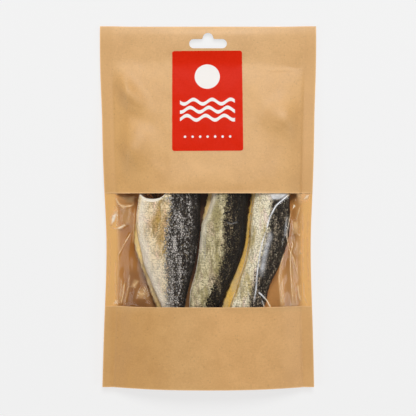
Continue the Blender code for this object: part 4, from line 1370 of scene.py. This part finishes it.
def scale_tree():
    tree = bpy.data.node_groups.new("lay_scales", "GeometryNodeTree")
    kinds = {"Skin": "Geometry", **dict.fromkeys(SCALE_SIZES, "Float"), "Seed": "Int", "Finish": "Material"}
    for label, kind in kinds.items():
        socket = tree.interface.new_socket(label, in_out="INPUT", socket_type="NodeSocket" + kind)
        if kind in ("Float", "Int"):
            socket.default_value = SCALE_SIZES.get(label, 3)
    tree.interface.new_socket("Geometry", in_out="OUTPUT", socket_type="NodeSocketGeometry")
    given, result = Wire(tree.nodes.new("NodeGroupInput").outputs[0]), tree.nodes.new("NodeGroupOutput")
    width = given["Scale Width"]

    def vector(operation, a, b=(0, 0, 0), out=0):
        return put(tree, "ShaderNodeVectorMath", {0: a, 1: b}, out, operation=operation)

    def random(low, high, stream):
        sockets = {2: low, 3: high, 8: given["Seed"] + stream}
        return put(tree, "FunctionNodeRandomValue", sockets, 1, data_type="FLOAT")

    def named(name, kind="FLOAT_VECTOR"):
        return put(tree, "GeometryNodeInputNamedAttribute", {0: name}, data_type=kind)

    def stored(geometry, name, value, kind="FLOAT", domain="POINT"):
        sockets = {"Geometry": geometry, "Name": name, "Value": value}
        return put(tree, "GeometryNodeStoreNamedAttribute", sockets, data_type=kind, domain=domain)

    def on_skin(value, at):
        sockets = {"Mesh": given["Skin"], "Value": value, "UV Map": named("UVMap"), "Sample UV": at}
        return put(tree, "GeometryNodeSampleUVSurface", sockets, data_type="FLOAT_VECTOR")

    # a flat net in UV units, every other row half a step aside, each knot a little out of place
    along = (1.0 / given["Row Pitch"]).math("FLOOR")
    around = (NET_ROUND / given["Column Pitch"]).math("FLOOR")
    sockets = {"Size X": 1.0, "Size Y": NET_ROUND, "Vertices X": along, "Vertices Y": around}
    net = put(tree, "GeometryNodeMeshGrid", sockets)
    odd = (put(tree, "GeometryNodeInputIndex") / around).math("FLOOR").math("MODULO", 2.0)
    aside = odd * given["Column Pitch"] * 0.5 + NET_ROUND / 2
    shift = put(tree, "ShaderNodeCombineXYZ", {0: 0.5, 1: aside})
    sockets = {0: (-0.0028, -0.0024, 0), 1: (0.0028, 0.0024, 0), 8: given["Seed"]}
    jitter = put(tree, "FunctionNodeRandomValue", sockets, data_type="FLOAT_VECTOR")
    net = put(tree, "GeometryNodeSetPosition", {"Geometry": net, "Offset": vector("ADD", shift, jitter)})

    # what the skin has at each knot: its place, its normal, the way to the tail, and its paint
    position = put(tree, "GeometryNodeInputPosition")
    here = on_skin(position, position)
    there = on_skin(position, vector("ADD", position, (-0.01, 0, 0)))
    found = {"at": here, "up": on_skin(put(tree, "GeometryNodeInputNormal"), position)}
    found["to"] = vector("SUBTRACT", there, here)
    found.update({name: on_skin(named(name), position) for name in ("tint", "mood")})
    points = put(tree, "GeometryNodeMeshToPoints", {"Mesh": net})
    for name, value in found.items():
        points = stored(points, name, value, "FLOAT_VECTOR")
    points = stored(points, "ok", here[1])

    # knots that missed the skin, or sit on a seam of the map, are taken away
    step = vector("LENGTH", named("to"), out="Value")
    stray = named("ok", "FLOAT").math("LESS_THAN", 0.5).math("MAXIMUM", step.math("GREATER_THAN", 0.006))
    stray = stray.math("MAXIMUM", step.math("LESS_THAN", 0.0008))
    clean = put(tree, "GeometryNodeDeleteGeometry", {0: points, 1: stray}, domain="POINT")
    placed = put(tree, "GeometryNodeSetPosition", {"Geometry": clean, "Position": named("at")})

    # one scale: a flat lens that knows how far out and how far ahead each of its points is
    lens = put(tree, "GeometryNodeMeshUVSphere", {"Segments": 7, "Rings": 4, "Radius": 1.0})
    lens = stored(lens, "rim", vector("LENGTH", vector("MULTIPLY", position, (1, 1, 0)), out="Value"))
    lens = stored(lens, "lead", split(position))
    sockets = {0: named("up"), 1: named("to")}
    facing = put(tree, "FunctionNodeAxesToRotation", sockets, primary_axis="Z", secondary_axis="X")
    tilt, sway = random(-0.16, 0.16, 5.0) - given["Tilt"], random(-0.22, 0.22, 7.0)
    for axis, angle in (((0, 1, 0), tilt), ((1, 0, 0), sway)):
        turn = put(tree, "FunctionNodeAxisAngleToRotation", {0: axis, 1: angle})
        facing = put(tree, "FunctionNodeRotateRotation", {0: facing, 1: turn}, rotation_space="LOCAL")
    growth = random(0.72, 1.18, 11.0)
    size = {0: given["Scale Length"] * growth, 1: width * growth, 2: width * 0.16}
    size = put(tree, "ShaderNodeCombineXYZ", size)
    sockets = {"Points": placed, "Instance": lens, "Rotation": facing, "Scale": size}
    laid = put(tree, "GeometryNodeInstanceOnPoints", sockets)
    laid = stored(laid, "tone", random(0.0, 1.0, 9.0), domain="INSTANCE")
    whole = put(tree, "GeometryNodeRealizeInstances", {"Geometry": laid})
    rounded = put(tree, "GeometryNodeSetShadeSmooth", {"Geometry": whole})
    sockets = {"Geometry": rounded, "Material": given["Finish"]}
    fill(result, {"Geometry": put(tree, "GeometryNodeSetMaterial", sockets)})
    return tree


# %% [markdown]
# ## Dried skin
# The values painted on each fish steer its colour: cream sides with mossy, rosy and brown patches, golden
# flesh, a dark back whose scales carry painted glints, partly their own silver, painted shade in the gap, and
# a pale lip. Scales repeat those values and add their own, a random tone and the way out to their rim, so
# each scale's colour and painted glint differ a little.

# %% The skin finish
def dried_skin(name, cream, olive, dark, glint, gold, freckled):
    made, shader, where = new_material(name)

    def painted(label, output="Fac"):
        return attribute(where, label, output)

    def shifted(value, amount):
        """A value around 0.5 turned into a push up or down by this amount."""
        return (value - 0.5) * amount

    def dimmed(colour, share):
        return paint_colour(*(v * share for v in colour))

    tint, mood = split(painted("tint", "Vector")), split(painted("mood", "Vector"))
    is_dark, is_gold, is_pale = tint, tint[1], tint[2]
    is_mossy, is_silver, gap_shade = mood, mood[1], mood[2]
    tone, rim, lead = painted("tone"), painted("rim"), painted("lead")
    lengthwise = scaled(where, 1.0, 0.30, 1.0)
    blotch = cloud(lengthwise, 0.0075, 3.0, 0.6)
    streak = cloud(scaled(where, 1.0, 0.16, 1.0), 0.0034)
    fine = cloud(where, 0.0013, rough=0.6)
    grit = cloud(scaled(where, 1.0, 0.6, 1.0), 0.0007, rough=0.6)

    # the sides: cream, with patches, freckles and dashes
    mossy = is_mossy * 0.90 + (shifted(blotch, 1.4) + shifted(cloud(lengthwise, 0.0026), 2.2))
    side = blend(between(mossy, 0.06, 0.95), paint_colour(*cream), paint_colour(*olive))
    rosy = between(cloud(lengthwise, 0.0052), 0.53, 0.62, 0.0, 0.75) * (is_mossy * -0.85 + 1.0)
    side = blend(rosy.clamped(), side, paint_colour(cream[0], cream[1] * 0.94, min(255, cream[2] * 1.02)))
    side = blend(between(cloud(lengthwise, 0.0036, 3.0), 0.55, 0.66, 0.0, 0.55), side, dimmed(olive, 0.74))
    side = blend(between(tone, 0.22, 0.0, 0.0, 0.5), side, dimmed(olive, 0.66))
    dash = between(lead, 0.20, 0.60) * between(grit, 0.44, 0.54) * 0.85
    dash = dash.math("MAXIMUM", use(specks, where, Size=0.0014, Amount=freckled) * 0.7)
    crowd = shifted(cloud(lengthwise, 0.0040), 2.2) + shifted(fine, 1.0) + freckled + is_dark * 0.7
    dash = (dash * between(crowd, 0.14, 0.55)).clamped()
    side = blend(dash * 0.88, side, paint_colour(70, 52, 34))

    # the flesh at the edges: amber, stained brown in places
    amber = blend(between(fine, 0.35, 0.62), dimmed(gold, 0.90), paint_colour(*gold))
    stained = between(cloud(lengthwise, 0.0024, 3.0, 0.65), 0.34, 0.60, 0.45, 1.0) * is_mossy
    amber = blend(stained.clamped(), amber, paint_colour(118, 78, 34))
    golden = is_gold * between(blotch, 0.30, 0.56, 0.55, 1.0)
    side = blend(golden.clamped(), side, amber)

    # the back: nearly black, with painted glints on its scales, partly their own silver, that gather in
    # streaks
    gathered = shifted(streak, 2.6) + shifted(blotch, 0.9) + (is_silver * 0.62 + -0.10)
    spark = tone * 0.9 + gathered + shifted(grit, 2.2)
    spark = (between(spark, 0.28, 1.30) * between(rim, 1.0, 0.40)).clamped() * (gap_shade * -0.85 + 1.0)
    night = blend(between(grit, 0.38, 0.64), dimmed(dark, 0.30), paint_colour(*dark))
    back = blend(spark, night, paint_colour(*glint))

    # side and back meet in a ragged line. The gap's painted shade, the lip and the hollow lie over both
    meeting = is_dark + (shifted(fine, 1.3) + shifted(tone, 0.55))
    skin = blend(between(meeting, 0.34, 0.66), side, back)
    skin = blend(gap_shade * 0.80, skin, paint_colour(22, 16, 12))
    skin = blend(is_pale * 0.95, skin, paint_colour(252, 244, 228))
    cave = blend(between(fine, 0.40, 0.62), paint_colour(92, 50, 26), paint_colour(184, 118, 62))
    fill(shader, {
        "Base Color": blend(painted("hollow"), skin, cave),
        "Roughness": fine * 0.45 + 0.12,
        "Specular IOR Level": 0.20,
        "Normal": bumped(fine * 0.7 + grit * 0.3, 0.0006, 0.6),
    })
    return made


# %% [markdown]
# Each fish gets its own skin finish and its own coat of scales. The coat starts as a copy of the skin, and
# the tree puts scales in its place.

# %% Coat the fish
LOOKS = {
    # cream, olive patches, dark back, glint, flesh, how freckled
    "fish_left": ((255, 236, 200), (200, 162, 82), (58, 48, 41), (214, 208, 202), (255, 219, 133), 0.17),
    "fish_middle": ((233, 221, 183), (182, 168, 118), (36, 25, 14), (156, 138, 106), (255, 216, 138), 0.26),
    "fish_right": ((255, 246, 220), (216, 197, 144), (52, 41, 30), (176, 160, 138), (255, 208, 102), 0.11),
}
lay_scales = scale_tree()
sockets = lay_scales.interface.items_tree
identifiers = {socket.name: socket.identifier for socket in sockets if socket.in_out == "INPUT"}
scales = {}
for seed, (name, skin) in enumerate(skins.items(), start=4):
    finish = dried_skin(name + "_finish", *LOOKS[name])
    coat_with(finish, skin)
    coat = link(name + "_scales", skin.data.copy())
    modifier = coat.modifiers.new("scales", "NODES")
    modifier.node_group = lay_scales
    modifier[identifiers["Seed"]] = seed
    modifier[identifiers["Finish"]] = finish
    finish_mesh(coat)
    for helper in ("at", "up", "to", "ok"):
        layer = coat.data.attributes.get(helper)
        if layer is not None:
            coat.data.attributes.remove(layer)
    scales[name] = coat
    print(coat.name, len(coat.data.polygons), "faces")

# %% [markdown]
# ## The sticker
# A glossy red sticker with round corners lies on the dented paper and follows it. A grid a little larger than
# the sticker is laid on the paper, and what is outside the sticker's outline is cut away.

# %% Cut the sticker
LABEL_WIDTH, LABEL_HEIGHT, LABEL_CORNER, LABEL = 0.0586, 0.0846, 0.0020, 0.00018
LABEL_X, LABEL_Y, LABEL_TURN = -0.0005, 0.0879, math.radians(0.35)
LABEL_GAP, SPARE = 0.00006, 0.001  # between sticker and paper, and how much larger the grid is


def label_outline():
    a, b = LABEL_WIDTH / 2 - LABEL_CORNER, LABEL_HEIGHT / 2 - LABEL_CORNER
    outline = []
    for cx, cy, start in ((a, -b, -90), (a, b, 0), (-a, b, 90), (-a, -b, 180)):
        outline += arc((cx, cy), LABEL_CORNER, start, start + 90, 9)
    turn = Matrix.Rotation(LABEL_TURN, 2)
    return [tuple(turn @ Vector(p) + Vector((LABEL_X, LABEL_Y))) for p in outline]


x, y = np.meshgrid(
    np.linspace(LABEL_X - LABEL_WIDTH / 2 - SPARE, LABEL_X + LABEL_WIDTH / 2 + SPARE, 61),
    np.linspace(LABEL_Y - LABEL_HEIGHT / 2 - SPARE, LABEL_Y + LABEL_HEIGHT / 2 + SPARE, 86),
)
under = dented(x, y) + LABEL_GAP
sticker = sheet("front_label", x, y, under + LABEL, under)
boolean(sticker, "INTERSECT", label_outline())
smooth(sticker)
print("label:", len(sticker.data.polygons), "faces")

# %% [markdown]
# Its print is a plain pattern: a white disc over three waves, and a row of dots. Fields of colour like these
# are quickest as masks in the material, worked out from the place on the sticker, so their edges stay sharp
# at any size.

# %% Print and gloss
SOFT_EDGE = 0.00022
DISC_Y, WAVES_Y, DOTS_Y = 0.0205, -0.0010, -0.0305
WAVE_LENGTH, WAVE_SWING, WAVE_REACH = 0.0155, 0.0019, 0.0228
DOT_RADIUS, DOT_PITCH = 0.0010, 0.0062


def label_print():
    """A mask over a place in metres from the sticker's middle."""
    sizes = {"Disc Radius": 0.0105, "Wave Pitch": 0.0068, "Line": 0.0011}
    place, result = node_group("label_print", sizes, ("Mask",))
    across = split(place)
    up = across[1]

    def under_edge(distance):
        return between(distance, -SOFT_EDGE, SOFT_EDGE, 1.0, 0.0)

    def circle(cx, cy, radius):
        dx, dy = across - cx, up - cy
        return under_edge((dx * dx + dy * dy).math("SQRT") - radius)

    mask = circle(0.0, DISC_Y, place["Disc Radius"])
    for number in range(3):
        middle = place["Wave Pitch"] * -float(number) + WAVES_Y
        swing = (across * (2 * math.pi / WAVE_LENGTH) + 1.1 * number).math("SINE") * WAVE_SWING
        wave = under_edge((up - (middle + swing)).math("ABSOLUTE") - place["Line"] * 1.35)
        mask = mask.math("MAXIMUM", wave * under_edge(across.math("ABSOLUTE") - WAVE_REACH))
    for number in range(7):
        mask = mask.math("MAXIMUM", circle((number - 3) * DOT_PITCH, DOTS_Y, DOT_RADIUS))
    fill(result, {"Mask": mask})
    return place.tree


def gloss_label():
    made, shader, where = new_material("gloss_label")
    sockets = {"Vector": where, "Location": (LABEL_X, LABEL_Y, 0), "Rotation": (0, 0, LABEL_TURN)}
    printed = use(label_print(), put(where.tree, "ShaderNodeMapping", sockets, vector_type="TEXTURE"))
    paper = use(fibres, where, Fibre_Size=0.0011, Mottle_Size=0.03)
    red = blend(between(paper, 0.35, 0.65), paint_colour(215, 38, 14), paint_colour(221, 41, 16))
    fill(shader, {
        "Base Color": blend(printed, red, paint_colour(244, 240, 236)),
        "Roughness": between(paper, 0.3, 0.7, 0.24, 0.32),
        "Specular IOR Level": 0.02,
        "Normal": bumped(paper["Height"] * 0.15 + printed * 0.08, 0.0002, 0.4),
    })
    return made


coat_with(gloss_label(), sticker)

# %% [markdown]
# ## Tie everything to the solid model
# The solid that each piece stands for is hidden, and every piece moves with the one body that this part has.

# %% Ride and replace
papers = (upper_front, lower_front, back_paper, top_leaf, low_leaf)
for piece in papers:
    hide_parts("pouch")
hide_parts("window_film")
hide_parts("label")
for name in FISH:
    for piece in (skins[name], scales[name]):
        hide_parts(name)
for piece in (*papers, clear_film, sticker, *skins.values(), *scales.values()):
    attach(piece, "root")
